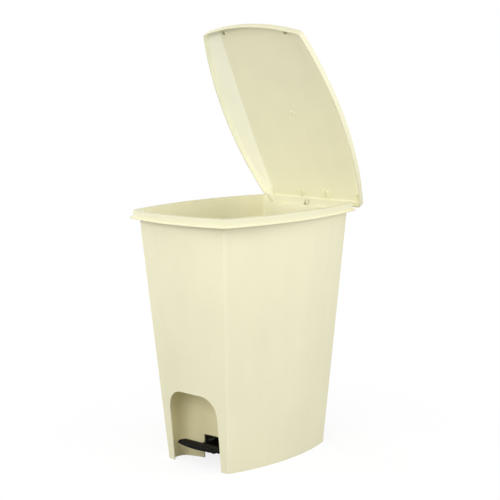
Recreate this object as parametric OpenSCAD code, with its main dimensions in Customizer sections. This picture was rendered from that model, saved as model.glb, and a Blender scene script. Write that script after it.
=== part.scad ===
// Pedal bin for the kitchen, about 45 litres: one tapered moulded shell with a foot niche at the
// front, a domed lid hinged at the back, and a pedal lever under the floor that lifts the lid
// through a steel rod in a channel on the rear wall.
// Frame: origin on the ground under the middle of the bin, +Z up, the pedal at -Y, the hinge at +Y.
// The parts are drawn with the lid standing part open, at lid_open degrees from closed.

/* [Body] */
// height of the rim ledge above the ground
body_h = 540; // [520:1:560]
// half width at the rim, corner to middle
top_half_w = 124; // [118:1:130]
// half depth at the rim
top_half_d = 206.5; // [204:0.5:209]
// half width at the ground
foot_half_w = 89; // [86:1:94]
// half depth at the ground
foot_half_d = 164; // [162:1:166]
// how far the side walls bow out at the rim
top_side_bow = 33; // [24:1:36]
// how far the front wall bows out at the rim
top_front_bow = 24; // [16:1:26]
// wall thickness of the shell
wall = 2.6; // [2.2:0.1:3]

/* [Rim] */
// height of the rim band above the ledge
band_h = 15.6; // [14:0.2:17]
// reach of the band outside the wall
band_out = 11; // [10:0.5:12]
// reach of the ledge outside the wall
ledge_out = 16.5; // [15:0.5:17]

/* [Foot niche] */
// half width of the arch in the front wall
arch_half_w = 70; // [64:1:72]
// height of the arch
arch_h = 165; // [150:1:166]
// corner radius of the arch
arch_r = 42; // [30:1:50]
// half width of the slot for the pedal arm
slot_half_w = 31.5; // [31:0.5:36]
// height of the slot for the pedal arm
slot_h = 53.5; // [50:0.5:54]

/* [Lid] */
// angle from closed at which the lid is drawn
lid_open = 60; // [59:0.1:61]
// height of the skirt round the lid
skirt_h = 14; // [13.8:0.1:16]
// rise of the dome above the skirt
dome_rise = 17; // [12:0.5:20]
// wall thickness of the lid
lid_wall = 2.4; // [2:0.1:2.8]

/* [Mechanism] */
// diameter of the steel lift rod
rod_d = 5; // [4.8:0.1:5.2]
// diameter of the pedal axle
axle_d = 8; // [7.5:0.1:8]
// diameter of the hinge pins
pin_d = 6; // [5.6:0.1:6]
// half width of the tread
tread_half_w = 66; // [60:1:67]

/* [Hidden] */

cream = [0.91, 0.88, 0.76];
black = [0.07, 0.07, 0.09];
steel = [0.72, 0.73, 0.75];
nylon = [0.88, 0.87, 0.84];
rubber = [0.12, 0.12, 0.12];

// thickness of the slices that a hull joins
thin = 0.01;
// reach of cutting shapes that only have to pass the whole bin
far = 260;
// clearance on the radius of turning steel parts, and of pressed ones
turn_fit = 0.05;
press_fit = 0.03;
$fn = 48;

// plan of the shell
foot_side_bow = 27;
foot_front_bow = 2;
rear_bow = 0.4;
foot_shift = 6;
corner_r = 9;
foot_corner_r = 7;
side_steps = 12;
corner_steps = 5;

// levels
top_z = body_h + band_h;
floor_z = 56;
floor_t = 3;
plate_t = 2.4;

// rear wall and the frame that lies on it
rear_y0 = foot_half_d + foot_shift;
rear_y1 = top_half_d;
rear_tilt = atan((rear_y1 - rear_y0) / body_h);

// rod, measured in the frame of the rear wall
rod_off = 9;
rod_low = 28;
rod_bend = 7;
chan_half = 12;
rib_t = 3;
rib_h = 17;

// hinge
hinge_y = top_half_d + 19.5;
hinge_z = body_h - 10;
ear_x = 36;
ear_w = 10;
ear_gap = 0.5;
lug_w = 5;
barrel_r = 6;
// ends of the cuts that bore the hinge
pin_bore_x0 = 22;
pin_bore_x1 = 50;

// lid, drawn closed and then turned
lid_z = body_h + 3.5;
lid_a = top_half_w + 14.5;
lid_b = top_half_d + 16.5;
lid_yc = -2.2;
lid_side_bow = top_side_bow + 0.5;
lid_front_bow = top_front_bow - 4;
lid_r = 9;
crown_a = lid_a - 24.2;
crown_bow = 20.3;
crown_taper = 13;
crown_low = 3.5;
crown_cross = 1.5;
crown_inset = 4;
dome_steps = 7;

// lift lug on the lid, seen from the hinge; it swings evenly about the rod's square
lug_reach = 12.4;
lug_low = 42.2 - rear_tilt;
lug_foot_r = 3.5;
lug_half = 4;
lug_gap = 0.9;
hinge_rise = (hinge_y - rear_y0) * sin(rear_tilt) + hinge_z * cos(rear_tilt);
head_top = hinge_rise + lug_reach * sin(lid_open - lug_low - rear_tilt) - lug_foot_r - lug_gap;
head_t = 6;
rod_top = head_top - head_t - 0.2;

// lever
axle_y = 15;
axle_z = 27;
bar_half = 13;
bar_t = 1.5;
bar_top = 33;
bar_low = 23;
bar_front = -92;
bar_rear = 190;
bar_web_end = 166;
pin_y = rear_y0 + rod_off * cos(rear_tilt) + rod_low * sin(rear_tilt);
pin_z = rod_low * cos(rear_tilt) - rod_off * sin(rear_tilt);
arm_half = 30;
arm_t = 3;
arm_y0 = -140;
arm_y1 = -48;
arm_edge = 8;
arm_rib_x = [-29, -14.5, 14.5, 29];
arm_rib_t = 2.4;
rivet_y = [-82, -62];
rivet_bore = 2.5;
rivet_shank = 2.45;
rivet_head = 4;
rivet_head_h = 1.4;
bar_hub = 8;

// front end of the pedal
tread_y0 = -164;
tread_y1 = -127;
tread_t = 8;
tread_tilt = 6;
tread_z = 37.2;

function unit(v) = v / norm(v);

// centre of the corner circle that touches both bowed sides from inside
function corner_c(a, b, sx, sy, r) =
    let (ra = (b * b + sx * sx) / (2 * sx), rb = (a * a + sy * sy) / (2 * sy))
    let (c1 = [a + sx - ra, 0], c2 = [0, b + sy - rb])
    let (d = norm(c2 - c1), e = unit(c2 - c1))
    let (m = (pow(ra - r, 2) - pow(rb - r, 2) + d * d) / (2 * d))
    let (h = sqrt(pow(ra - r, 2) - m * m))
    let (p = c1 + m * e + h * [-e[1], e[0]], q = c1 + m * e - h * [-e[1], e[0]])
    p[0] + p[1] > q[0] + q[1] ? p : q;

// a quarter of the plan, from the middle of the side to the middle of the end
function quarter(a, b, sx, sy, r) =
    let (ra = (b * b + sx * sx) / (2 * sx), rb = (a * a + sy * sy) / (2 * sy))
    let (c1 = [a + sx - ra, 0], c2 = [0, b + sy - rb])
    let (p = corner_c(a, b, sx, sy, r))
    let (t1 = atan2(p[1] - c1[1], p[0] - c1[0]), t2 = atan2(p[1] - c2[1], p[0] - c2[0]))
    concat(
        [for (i = [0:side_steps - 1]) c1 + ra * [cos(t1 * i / side_steps), sin(t1 * i / side_steps)]],
        [for (i = [0:corner_steps]) let (t = t1 + (t2 - t1) * i / corner_steps) p + r * [cos(t), sin(t)]],
        [for (i = [1:side_steps]) let (t = t2 + (90 - t2) * i / side_steps) c2 + rb * [cos(t), sin(t)]]);

// closed plan with its own bow at the front (-Y) and at the back (+Y)
function plan(a, b, sx, sf, sb, r, cy) =
    let (q = quarter(a, b, sx, sb, r), f = quarter(a, b, sx, sf, r), n = len(q))
    [for (p = concat(
        [for (i = [0:n - 1]) q[i]],
        [for (i = [n - 2:-1:0]) [-q[i][0], q[i][1]]],
        [for (i = [1:n - 1]) [-f[i][0], -f[i][1]]],
        [for (i = [n - 2:-1:1]) [f[i][0], -f[i][1]]])) [p[0], p[1] + cy]];

// plan of the shell, grown by g, at the foot and at the rim
function foot_plan(g) = plan(foot_half_w + g, foot_half_d + g, foot_side_bow, foot_front_bow,
    rear_bow, foot_corner_r + g, foot_shift);
function top_plan(g) = plan(top_half_w + g, top_half_d + g, top_side_bow, top_front_bow,
    rear_bow, corner_r + g, 0);

// thin slice of a plan at one level
module slice(pts, z) {
    translate([0, 0, z])
        linear_extrude(thin)
            polygon(pts);
}

// solid between two plans
module loft(low, z0, high, z1) {
    hull() {
        slice(low, z0);
        slice(high, z1 - thin);
    }
}

// slab between two levels with the plan of the rim grown by g
module rim_slab(g, z0, z1) {
    translate([0, 0, z0])
        linear_extrude(z1 - z0)
            polygon(top_plan(g));
}

module rim_ring(g0, g1, z0, z1) {
    difference() {
        rim_slab(g1, z0, z1);
        rim_slab(g0, z0 - 1, z1 + 1);
    }
}

module inner_loft() {
    loft(foot_plan(-wall), 0, top_plan(-wall), body_h);
}

// as far as the middle of the shell's wall, so that what ends in the wall runs into it
module mid_wall_loft() {
    loft(foot_plan(-wall / 2), 0, top_plan(-wall / 2), body_h);
}

// box given by its two corners
module span(lo, hi) {
    translate(lo)
        cube(hi - lo);
}

// solid of a side view drawn in Y and Z, between two X values
module side_plate(x0, x1) {
    translate([x0, 0, 0])
        rotate([90, 0, 90])
            linear_extrude(x1 - x0)
                children();
}

// rod along X between two X values
module x_rod(r, x0, x1) {
    translate([x0, 0, 0])
        rotate([0, 90, 0])
            cylinder(r = r, h = x1 - x0);
}

// moves into the frame that lies on the rear wall: Y outward, Z up the wall
module on_rear() {
    translate([0, rear_y0, 0])
        rotate([-rear_tilt, 0, 0])
            children();
}

// moves the closed lid's parts to the drawn pose
module opened() {
    translate([0, hinge_y, hinge_z])
        rotate([-lid_open, 0, 0])
            translate([0, -hinge_y, -hinge_z])
                children();
}

niche_half = 82;
niche_back = -101;
niche_bow_r = 190;
niche_r = 22;
niche_top = 168;
niche_bow_c = [0, niche_back - niche_bow_r];
niche_c = niche_bow_c
    + [niche_half - niche_r, sqrt(pow(niche_bow_r - niche_r, 2) - pow(niche_half - niche_r, 2))];

// plan of the niche, grown by g: a bowed back and two corner circles that touch it
module niche_plan(g) {
    reach = 2 * (niche_c - niche_bow_c);
    intersection() {
        translate(niche_bow_c)
            circle(r = niche_bow_r + g, $fn = 240);
        polygon([niche_bow_c, niche_bow_c + reach, niche_bow_c + [-reach[0], reach[1]]]);
    }
    translate([-niche_half - g, -far])
        square([2 * (niche_half + g), far + niche_c[1]]);
    for (s = [-1, 1])
        translate([s * niche_c[0], niche_c[1]])
            circle(r = niche_r + g);
}

// the wall round the foot niche, inside the shell
module niche_wall() {
    intersection() {
        mid_wall_loft();
        difference() {
            translate([0, 0, -1])
                linear_extrude(niche_top + wall + 1)
                    niche_plan(wall);
            translate([0, 0, -2])
                linear_extrude(niche_top + 2)
                    niche_plan(0);
        }
    }
}

// the arch is cut from here forward
arch_cut_y = -140;
arch_cut_d = 80;

module arch_cut() {
    translate([0, arch_cut_y, 0])
        rotate([90, 0, 0])
            linear_extrude(arch_cut_d) {
                translate([-arch_half_w, -1])
                    square([2 * arch_half_w, arch_h - arch_r + 1]);
                translate([-arch_half_w + arch_r, -1])
                    square([2 * (arch_half_w - arch_r), arch_h + 1]);
                translate([arch_half_w - arch_r, arch_h - arch_r])
                    circle(r = arch_r, $fn = 64);
                translate([-arch_half_w + arch_r, arch_h - arch_r])
                    circle(r = arch_r, $fn = 64);
            }
}

module floor_plate() {
    difference() {
        intersection() {
            mid_wall_loft();
            span([-far, -far, floor_z], [far, far, floor_z + floor_t]);
        }
        translate([0, 0, floor_z - 1])
            linear_extrude(floor_t + 2)
                niche_plan(wall / 2);
    }
}

recess_half = 112;
recess_y = top_half_d - 16.5;
fence_h = 14;
end_wall_t = 2.4;

// rolled rim: wall, top, band and ledge, stepped down to a deck at the hinge
module rim() {
    difference() {
        union() {
            rim_ring(-wall, 0, body_h, top_z);
            rim_ring(-wall, band_out, top_z - plate_t, top_z);
            rim_ring(band_out - plate_t, band_out, body_h - 1, top_z);
        }
        span([-recess_half, recess_y, body_h], [recess_half, far, top_z + 1]);
    }
    rim_ring(band_out - plate_t, ledge_out, body_h - 2, body_h + 0.5);
    // deck behind the opening
    intersection() {
        rim_ring(-wall, ledge_out, body_h - plate_t, body_h);
        span([-recess_half - 8, recess_y, 0], [recess_half + 8, far, body_h + far]);
    }
    // low fence at the back of the deck
    intersection() {
        rim_ring(band_out - plate_t, band_out, body_h - 1, body_h + fence_h);
        span([-recess_half - 1, recess_y, 0], [recess_half + 1, far, body_h + far]);
    }
    // end walls of the rolled rim
    for (s = [-1, 1])
        translate([s * (recess_half + end_wall_t / 2), 0, 0])
            span([-end_wall_t / 2, top_half_d - wall + 0.2, body_h - 1],
                [end_wall_t / 2, top_half_d + band_out - 0.3, top_z]);
}

boss_x = 20.5;
boss_r = 4.5;
// the ribs and bosses start this far inside the rear wall's face
root = 1.2;
rib_z0 = 62;
rib_z1 = body_h - 1;
screw_z = [92, 470];
screw_r = 1.5;
screw_l = 14;
screw_play = 0.25;
head_r = 3.6;
head_top_r = 2.6;
head_h = 2.2;
cross_half = 2.2;
cross_t = 0.8;

module rear_channel() {
    on_rear() {
        for (s = [-1, 1])
            translate([s * (chan_half + rib_t / 2), 0, 0])
                span([-rib_t / 2, -root, rib_z0], [rib_t / 2, rib_h, rib_z1]);
        for (s = [-1, 1])
            for (z = screw_z)
                translate([s * boss_x, -root, z])
                    rotate([-90, 0, 0])
                        cylinder(r = boss_r, h = rib_h + root);
    }
}

// hole for the lift lug, through the deck and the foot of the fence
notch_half = 5;
notch_y = top_half_d + 0.9;
notch_depth = 8;
notch_top = 3.5;
// slots for the ears, in the ledge behind the fence
ear_cut_y = top_half_d + 12.1;
// outer end of these cuts, behind the ledge
cut_end = top_half_d + 33.5;
// window for the lever in the rear wall, above the strip that stands on the ground
window_half = 19;
window_z0 = 3.6;
window_z1 = 50;
window_y0 = 155;
window_y1 = 190;

// side view of one body lug of the hinge
module lug_shape() {
    translate([hinge_y, hinge_z])
        circle(r = barrel_r);
    polygon([[rear_y1 - 4, body_h - 45], [rear_y1 - 1.5, body_h - 1.4], [hinge_y - 6, body_h - 0.5],
        [hinge_y, hinge_z + barrel_r], [hinge_y + 5.4, hinge_z - 2.6], [hinge_y + 2, hinge_z - 8]]);
}

module hinge_lugs() {
    for (s = [-1, 1])
        for (x = [ear_x - ear_w / 2 - ear_gap - lug_w, ear_x + ear_w / 2 + ear_gap])
            side_plate(s > 0 ? x : -x - lug_w, s > 0 ? x + lug_w : -x)
                lug_shape();
}

axle_lug_x = 24;
axle_lug_w = 4;
axle_lug_r = 9;
// half width of the lug's foot on the floor plate
axle_lug_foot = 26;

module axle_lugs() {
    for (s = [-1, 1])
        side_plate(s > 0 ? axle_lug_x : -axle_lug_x - axle_lug_w,
            s > 0 ? axle_lug_x + axle_lug_w : -axle_lug_x) {
            translate([axle_y, axle_z])
                circle(r = axle_lug_r);
            translate([axle_y - axle_lug_r, axle_z])
                square([2 * axle_lug_r, floor_z - axle_z + 1]);
            polygon([[axle_y - axle_lug_foot, floor_z + 1], [axle_y + axle_lug_foot, floor_z + 1],
                [axle_y + 6, axle_z + axle_lug_r], [axle_y - 6, axle_z + axle_lug_r]]);
        }
}

module bin_body() color(cream) {
    difference() {
        union() {
            difference() {
                loft(foot_plan(0), 0, top_plan(0), body_h);
                inner_loft();
            }
            niche_wall();
            floor_plate();
            rim();
            rear_channel();
            hinge_lugs();
            axle_lugs();
        }
        arch_cut();
        // slot for the pedal arm
        span([-slot_half_w, niche_back - 12, -1], [slot_half_w, niche_back + 8, slot_h]);
        // window for the lever at the back
        span([-window_half, window_y0, window_z0], [window_half, window_y1, window_z1]);
        // hole for the lift lug and the head of the rod
        span([-notch_half, notch_y, body_h - notch_depth], [notch_half, cut_end, body_h + notch_top]);
        // slots in the ledge for the ears of the lid
        for (s = [-1, 1])
            span([s * ear_x - ear_w / 2 - ear_gap, ear_cut_y, hinge_z - barrel_r - 1],
                [s * ear_x + ear_w / 2 + ear_gap, cut_end, top_z]);
        // hinge pin bores
        for (s = [-1, 1])
            translate([0, hinge_y, hinge_z])
                x_rod(pin_d / 2 + turn_fit / 2, s > 0 ? pin_bore_x0 : -pin_bore_x1,
                    s > 0 ? pin_bore_x1 : -pin_bore_x0);
        // axle bore
        translate([0, axle_y, axle_z])
            x_rod(axle_d / 2 + press_fit, -axle_half, axle_half);
        // pilot bores of the cover screws
        on_rear()
            for (s = [-1, 1])
                for (z = screw_z)
                    translate([s * boss_x, 3, z])
                        rotate([-90, 0, 0])
                            cylinder(r = screw_r + turn_fit, h = 30);
    }
}

cover_z0 = 70;
cover_z1 = body_h - 28;
cover_half = 26;
cover_t = 2.5;
cover_rib_r = 8;
cover_rib_h = 2;

module rear_cover() color(cream) {
    on_rear()
        difference() {
            union() {
                span([-cover_half, rib_h, cover_z0], [cover_half, rib_h + cover_t, cover_z1]);
                // shallow rib down the middle
                translate([0, rib_h + cover_t + cover_rib_h - cover_rib_r, cover_z0])
                    intersection() {
                        cylinder(r = cover_rib_r, h = cover_z1 - cover_z0);
                        span([-cover_rib_r, cover_rib_r - cover_rib_h - 0.2, 0],
                            [cover_rib_r, cover_rib_r + 1, cover_z1]);
                    }
            }
            for (s = [-1, 1])
                for (z = screw_z)
                    translate([s * boss_x, 0, z])
                        rotate([-90, 0, 0])
                            cylinder(r = screw_r + screw_play, h = rib_h + 2 * cover_t);
        }
}

module cover_screws() color(steel) {
    on_rear()
        for (s = [-1, 1])
            for (z = screw_z)
                translate([s * boss_x, rib_h + cover_t, z])
                    rotate([-90, 0, 0])
                        difference() {
                            union() {
                                translate([0, 0, -screw_l])
                                    cylinder(r = screw_r, h = screw_l + 0.2);
                                cylinder(r1 = head_r, r2 = head_top_r, h = head_h);
                            }
                            translate([0, 0, 1.2])
                                rotate([0, 0, 20]) {
                                    span([-cross_half, -cross_t / 2, 0], [cross_half, cross_t / 2, 2]);
                                    span([-cross_t / 2, -cross_half, 0], [cross_t / 2, cross_half, 2]);
                                }
                        }
}

guide_h = 14;
guide_play = 0.35;

// block that keeps the rod in the middle of the channel
module rod_guide(z) {
    on_rear()
        difference() {
            span([-chan_half, 0.5, z - guide_h / 2], [chan_half, rib_h, z + guide_h / 2]);
            translate([0, rod_off, z - guide_h])
                cylinder(r = rod_d / 2 + guide_play, h = 2 * guide_h);
        }
}

module rod_guide_lower() color(nylon) rod_guide(140);

module rod_guide_upper() color(nylon) rod_guide(400);

pin_over = 0.6;
pin_head = 1.6;

module hinge_pin(s) {
    translate([0, hinge_y, hinge_z]) {
        x0 = ear_x - ear_w / 2 - ear_gap - lug_w - pin_over;
        x1 = ear_x + ear_w / 2 + ear_gap + lug_w + pin_over;
        x_rod(pin_d / 2, s > 0 ? x0 : -x1, s > 0 ? x1 : -x0);
        x_rod(pin_d / 2 + 1.2, s > 0 ? x1 - 0.1 : -x1 - pin_head, s > 0 ? x1 + pin_head : -x1 + 0.1);
    }
}

module hinge_pin_left() color(steel) hinge_pin(-1);

module hinge_pin_right() color(steel) hinge_pin(1);

axle_half = 33;
// groove of the snap rings
groove_x = 29;
groove_w = 1.2;
groove_d = 0.8;

module pedal_axle() color(steel) {
    translate([0, axle_y, axle_z])
        difference() {
            x_rod(axle_d / 2, -axle_half, axle_half);
            for (s = [-1, 1])
                difference() {
                    x_rod(axle_d / 2 + 1, s > 0 ? groove_x : -groove_x - groove_w,
                        s > 0 ? groove_x + groove_w : -groove_x);
                    x_rod(axle_d / 2 - groove_d, s > 0 ? groove_x - 1 : -groove_x - groove_w - 1,
                        s > 0 ? groove_x + groove_w + 1 : -groove_x + 1);
                }
        }
}

// snap ring in the groove of the axle
module axle_clip(s) {
    translate([s * (groove_x + groove_w / 2), axle_y, axle_z])
        difference() {
            x_rod(axle_d / 2 + 3, -0.5, 0.5);
            x_rod(axle_d / 2 - groove_d, -2, 2);
            span([-2, -2.4, -12], [2, 2.4, 0]);
        }
}

module axle_clip_left() color(steel) axle_clip(-1);

module axle_clip_right() color(steel) axle_clip(1);

module axle_spacer(s) {
    x0 = bar_half + 0.3;
    x1 = axle_lug_x - 0.2;
    translate([0, axle_y, axle_z])
        difference() {
            x_rod(axle_d / 2 + 2, s > 0 ? x0 : -x1, s > 0 ? x1 : -x0);
            x_rod(axle_d / 2 + turn_fit, -axle_half, axle_half);
        }
}

module axle_spacer_left() color(nylon) axle_spacer(-1);

module axle_spacer_right() color(nylon) axle_spacer(1);

// half width and height of the dome above the lip, at a fraction v of the half length
function dome_half(v) = crown_a + crown_bow * (1 - v * v) + crown_taper * v;
function dome_z(v) = skirt_h + crown_low + dome_rise * (1 - v * v);

function lid_plan(g) = plan(lid_a + g, lid_b + g, lid_side_bow, lid_front_bow, rear_bow,
    lid_r + g, lid_yc);

// cross section of the dome, flat at the sides and slightly crowned in the middle
function dome_section(v, g) =
    let (a = dome_half(v) - g, z = dome_z(v) - g, c = crown_cross * (1 - v * v))
    [[-a, z], [-a / 2, z + 0.75 * c], [0, z + c], [a / 2, z + 0.75 * c], [a, z]];

// points of a list of pairs at one level
function raised(pts, z) = [for (p = pts) [p[0], p[1], z]];

// place along the lid of one point of the dome, which follows the bow of the front edge
function dome_y(v, x, g) =
    lid_yc + v * (lid_b - crown_inset - g)
    + (v < 0 ? v * lid_front_bow * (1 - pow(x / lid_a, 2)) : 0);

// points of the dome, one cross section after another
function dome_points(g) =
    [for (i = [-dome_steps:dome_steps], p = dome_section(i / dome_steps, g))
        [p[0], dome_y(i / dome_steps, p[0], g), p[1]]];

// the lid as a full body, shrunk by g all round
module lid_solid(g, low) {
    pts = concat(raised(lid_plan(-g), low), raised(lid_plan(-g), skirt_h - g), dome_points(g));
    translate([0, 0, lid_z])
        hull()
            polyhedron(points = pts, faces = [[for (i = [0:len(pts) - 1]) i]]);
}

// outside of the closed lid's skirt at the back
lid_back = lid_yc + lid_b + rear_bow;

// side view of one hinge ear of the closed lid
module ear_shape() {
    translate([hinge_y, hinge_z])
        circle(r = barrel_r);
    polygon([[lid_back - 1.6, lid_z + 0.4], [lid_back - 1.6, lid_z + skirt_h - 0.5],
        [lid_back + 1, lid_z + skirt_h - 2], [hinge_y + 4.6, hinge_z + 3.9],
        [hinge_y, hinge_z - barrel_r], [hinge_y - 5.6, hinge_z + 2]]);
}

// side view of the lift lug of the closed lid
module lift_shape() {
    y = hinge_y - lug_reach * cos(lug_low);
    z = hinge_z - lug_reach * sin(lug_low);
    translate([y, z])
        circle(r = lug_foot_r);
    polygon([[y - lug_foot_r, z], [y + lug_foot_r, z], [lid_back - 0.2, lid_z],
        [lid_back - 0.2, lid_z + skirt_h - 1], [lid_back - 2, lid_z + skirt_h - 1],
        [lid_back - 2.2, lid_z + 0.5], [lid_back - 2.6, lid_z - 5.5]]);
}

gusset_x = [-126, -41, -31, 31, 41, 126];
gusset_t = 2.8;
bumper_x = 88;
bumper_y = 1 - lid_b;
bumper_t = 1.8;
bumper_stud = 2;
bumper_r = 4.2;
bumper_gap = 0.4;
stud_l = 3.3;
bumper_boss_r = 5;
gusset_low = 4;

// the dome hangs over the inside of the skirt here, so ribs and bosses stop at it
module inside_lid() {
    intersection() {
        lid_solid(lid_wall / 2, 0.2);
        children();
    }
}

module lid() color(cream) {
    opened() {
        difference() {
            union() {
                difference() {
                    lid_solid(0, 0);
                    lid_solid(lid_wall, -1);
                }
                for (s = [-1, 1])
                    side_plate(s > 0 ? ear_x - ear_w / 2 : -ear_x - ear_w / 2,
                        s > 0 ? ear_x + ear_w / 2 : -ear_x + ear_w / 2)
                        ear_shape();
                side_plate(-lug_half, lug_half)
                    lift_shape();
                inside_lid() {
                    // gussets at the back corners and behind the ears
                    for (x = gusset_x)
                        side_plate(x - gusset_t / 2, x + gusset_t / 2)
                            polygon([[lid_back - 0.6, lid_z + gusset_low], [lid_back - 0.6, lid_z + 40],
                                [lid_back - 33, lid_z + 40], [lid_back - 25, top_z + 1.5],
                                [lid_back - 3.2, top_z + 1.5], [lid_back - 2.5, lid_z + gusset_low]]);
                    // bosses of the bumpers
                    for (s = [-1, 1])
                        translate([s * bumper_x, bumper_y, top_z + bumper_t])
                            cylinder(r = bumper_boss_r, h = 30);
                }
            }
            for (s = [-1, 1])
                translate([0, hinge_y, hinge_z])
                    x_rod(pin_d / 2 + turn_fit, s > 0 ? pin_bore_x0 : -pin_bore_x1,
                        s > 0 ? pin_bore_x1 : -pin_bore_x0);
            for (s = [-1, 1])
                translate([s * bumper_x, bumper_y, top_z])
                    cylinder(r = bumper_stud + 2 * thin, h = bumper_t + stud_l - 0.1);
        }
    }
}

module bumper(s) {
    opened()
        translate([s * bumper_x, bumper_y, top_z]) {
            translate([0, 0, bumper_gap])
                cylinder(r1 = bumper_r - 0.8, r2 = bumper_r, h = bumper_t - bumper_gap);
            translate([0, 0, bumper_t - bumper_gap])
                cylinder(r = bumper_stud, h = stud_l);
        }
}

module bumper_left() color(rubber) bumper(-1);

module bumper_right() color(rubber) bumper(1);

tread_bow = 7;
// corner radius at the front and at the back of the tread
tread_r = 6;
tread_back_r = 6;
// start of the straight sides behind the bowed edge
tread_side = 18;
tread_rib_pitch = 5.2;
tread_rib_t = 2.6;
tread_rib_top = 6;
lip_h = 3.4;
lip_t = 3;
// radius of the lip's lower edge, seen from the front
lip_r = 620;

// tread of the pedal seen from above, with a bowed front edge
module tread_plan(g) {
    r = (pow(tread_half_w, 2) + tread_bow * tread_bow) / (2 * tread_bow);
    c = tread_r - g;
    intersection() {
        translate([0, tread_y0 + r + g])
            circle(r = r, $fn = 180);
        union() {
            translate([-tread_half_w + g, tread_y0 + tread_side])
                square([2 * (tread_half_w - g), tread_y1 - tread_y0 - tread_side - g - tread_back_r]);
            translate([-tread_half_w + g + c, tread_y0 - 1])
                square([2 * (tread_half_w - g - c), tread_y1 - tread_y0 + 1 - g]);
            for (s = [-1, 1]) {
                translate([s * (tread_half_w - g - c), tread_y0 + tread_side])
                    circle(r = c);
                translate([s * (tread_half_w - g - tread_back_r), tread_y1 - g - tread_back_r])
                    circle(r = tread_back_r);
            }
        }
    }
}

// moves into the frame of the tilted tread, at its back edge
module on_tread() {
    translate([0, tread_y1, tread_z])
        rotate([-tread_tilt, 0, 0])
            translate([0, -tread_y1, 0])
                children();
}

module pedal() color(black) {
    difference() {
        union() {
            on_tread() {
                linear_extrude(tread_t - 3.6)
                    tread_plan(0);
                // ribs of the tread
                for (y = [tread_y0 + 10:tread_rib_pitch:tread_y1 - 4])
                    intersection() {
                        span([-tread_half_w + 4, y - tread_rib_t / 2, 0],
                            [tread_half_w - 4, y + tread_rib_t / 2, tread_rib_top]);
                        linear_extrude(tread_t)
                            tread_plan(1.5);
                    }
                // lip under the bowed front edge, deepest in the middle
                intersection() {
                    translate([0, 0, -lip_h])
                        linear_extrude(lip_h + 1)
                            difference() {
                                tread_plan(0.4);
                                translate([0, lip_t])
                                    tread_plan(0.4);
                            }
                    translate([0, tread_y1, lip_r - lip_h])
                        rotate([90, 0, 0])
                            cylinder(r = lip_r, h = 50, $fn = 720);
                }
            }
            // arm from the tread to the lever
            span([-arm_half, arm_y0, bar_top], [arm_half, arm_y1, bar_top + arm_t]);
            // turned-down edges of the arm
            for (s = [-1, 1])
                translate([s * (arm_half - arm_t / 2), 0, 0])
                    span([-arm_t / 2, arm_y0 + 16, bar_top - arm_edge], [arm_t / 2, arm_y1, bar_top + 1]);
            // ribs under the tread
            for (x = arm_rib_x)
                side_plate(x - arm_rib_t / 2, x + arm_rib_t / 2)
                    polygon([[arm_y0 - 16, 38], [arm_y0 + 12, 38.6], [arm_y0 + 28, bar_top + 1],
                        [arm_y0 + 28, bar_top - 6], [arm_y0, bar_top - 4.5], [arm_y0 - 12, 35]]);
            // thick root of the arm under the tread
            span([-arm_half, arm_y0 - 12, bar_top + 1], [arm_half, arm_y0 + 12, bar_top + 5]);
        }
        for (y = rivet_y)
            translate([0, y, bar_top - 5])
                cylinder(r = rivet_bore, h = 20);
    }
}

// play of the rod's bent end in its slot, and half the slot's straight run
slot_play = 0.4;
slot_slide = 0.8;

// pressed channel from the pedal to the rod, open below
module lever_bar() color(steel) {
    difference() {
        union() {
            span([-bar_half, bar_front, bar_top - bar_t], [bar_half, bar_web_end, bar_top]);
            for (s = [-1, 1]) {
                translate([s * (bar_half - bar_t / 2), 0, 0])
                    span([-bar_t / 2, bar_front, bar_low], [bar_t / 2, bar_rear, bar_top]);
                side_plate(s > 0 ? bar_half - bar_t : -bar_half, s > 0 ? bar_half : -bar_half + bar_t) {
                    translate([axle_y, axle_z])
                        circle(r = bar_hub);
                }
            }
        }
        translate([0, axle_y, axle_z])
            x_rod(axle_d / 2 + turn_fit, -axle_half, axle_half);
        // slot for the bent end of the rod
        side_plate(bar_half - 3, bar_half + 2) {
            translate([pin_y - slot_slide, pin_z - rod_d / 2 - slot_play])
                square([2 * slot_slide, rod_d + 2 * slot_play]);
            for (s = [-1, 1])
                translate([pin_y + s * slot_slide, pin_z])
                    circle(r = rod_d / 2 + slot_play);
        }
        for (y = rivet_y)
            translate([0, y, bar_top - 5])
                cylinder(r = rivet_bore, h = 20);
    }
}

module pedal_rivets() color(steel) {
    for (y = rivet_y)
        translate([0, y, 0]) {
            translate([0, 0, bar_top - bar_t - rivet_head_h])
                cylinder(r = rivet_head, h = rivet_head_h);
            translate([0, 0, bar_top - bar_t - 0.5])
                cylinder(r = rivet_shank, h = bar_t + arm_t + 1);
            translate([0, 0, bar_top + arm_t])
                cylinder(r1 = rivet_head, r2 = rivet_head - 1.2, h = rivet_head_h);
        }
}

rod_end_x = 20;
block_half_x = 6.5;
block_half_y = 7;
sleeve_r = 5;
sleeve_z = 22;

module lift_rod() color(steel) {
    on_rear()
        translate([0, rod_off, 0]) {
            translate([0, 0, rod_low + rod_bend])
                cylinder(r = rod_d / 2, h = rod_top - rod_low - rod_bend);
            translate([rod_bend, 0, rod_low + rod_bend])
                rotate([90, 0, 0])
                    rotate([0, 0, 180])
                        rotate_extrude(angle = 90)
                            translate([rod_bend, 0])
                                circle(r = rod_d / 2);
            translate([0, 0, rod_low])
                x_rod(rod_d / 2, rod_bend, rod_end_x);
        }
}

// plastic head that pushes the lift lug of the lid
module rod_head() color(nylon) {
    on_rear()
        translate([0, rod_off, 0])
            difference() {
                union() {
                    span([-block_half_x, -block_half_y, head_top - head_t],
                        [block_half_x, block_half_y, head_top]);
                    translate([0, 0, head_top - sleeve_z])
                        cylinder(r = sleeve_r, h = sleeve_z - 4);
                }
                translate([0, 0, head_top - sleeve_z - 8])
                    cylinder(r = rod_d / 2 + press_fit, h = sleeve_z + 8 - head_t - 0.1);
            }
}

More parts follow.
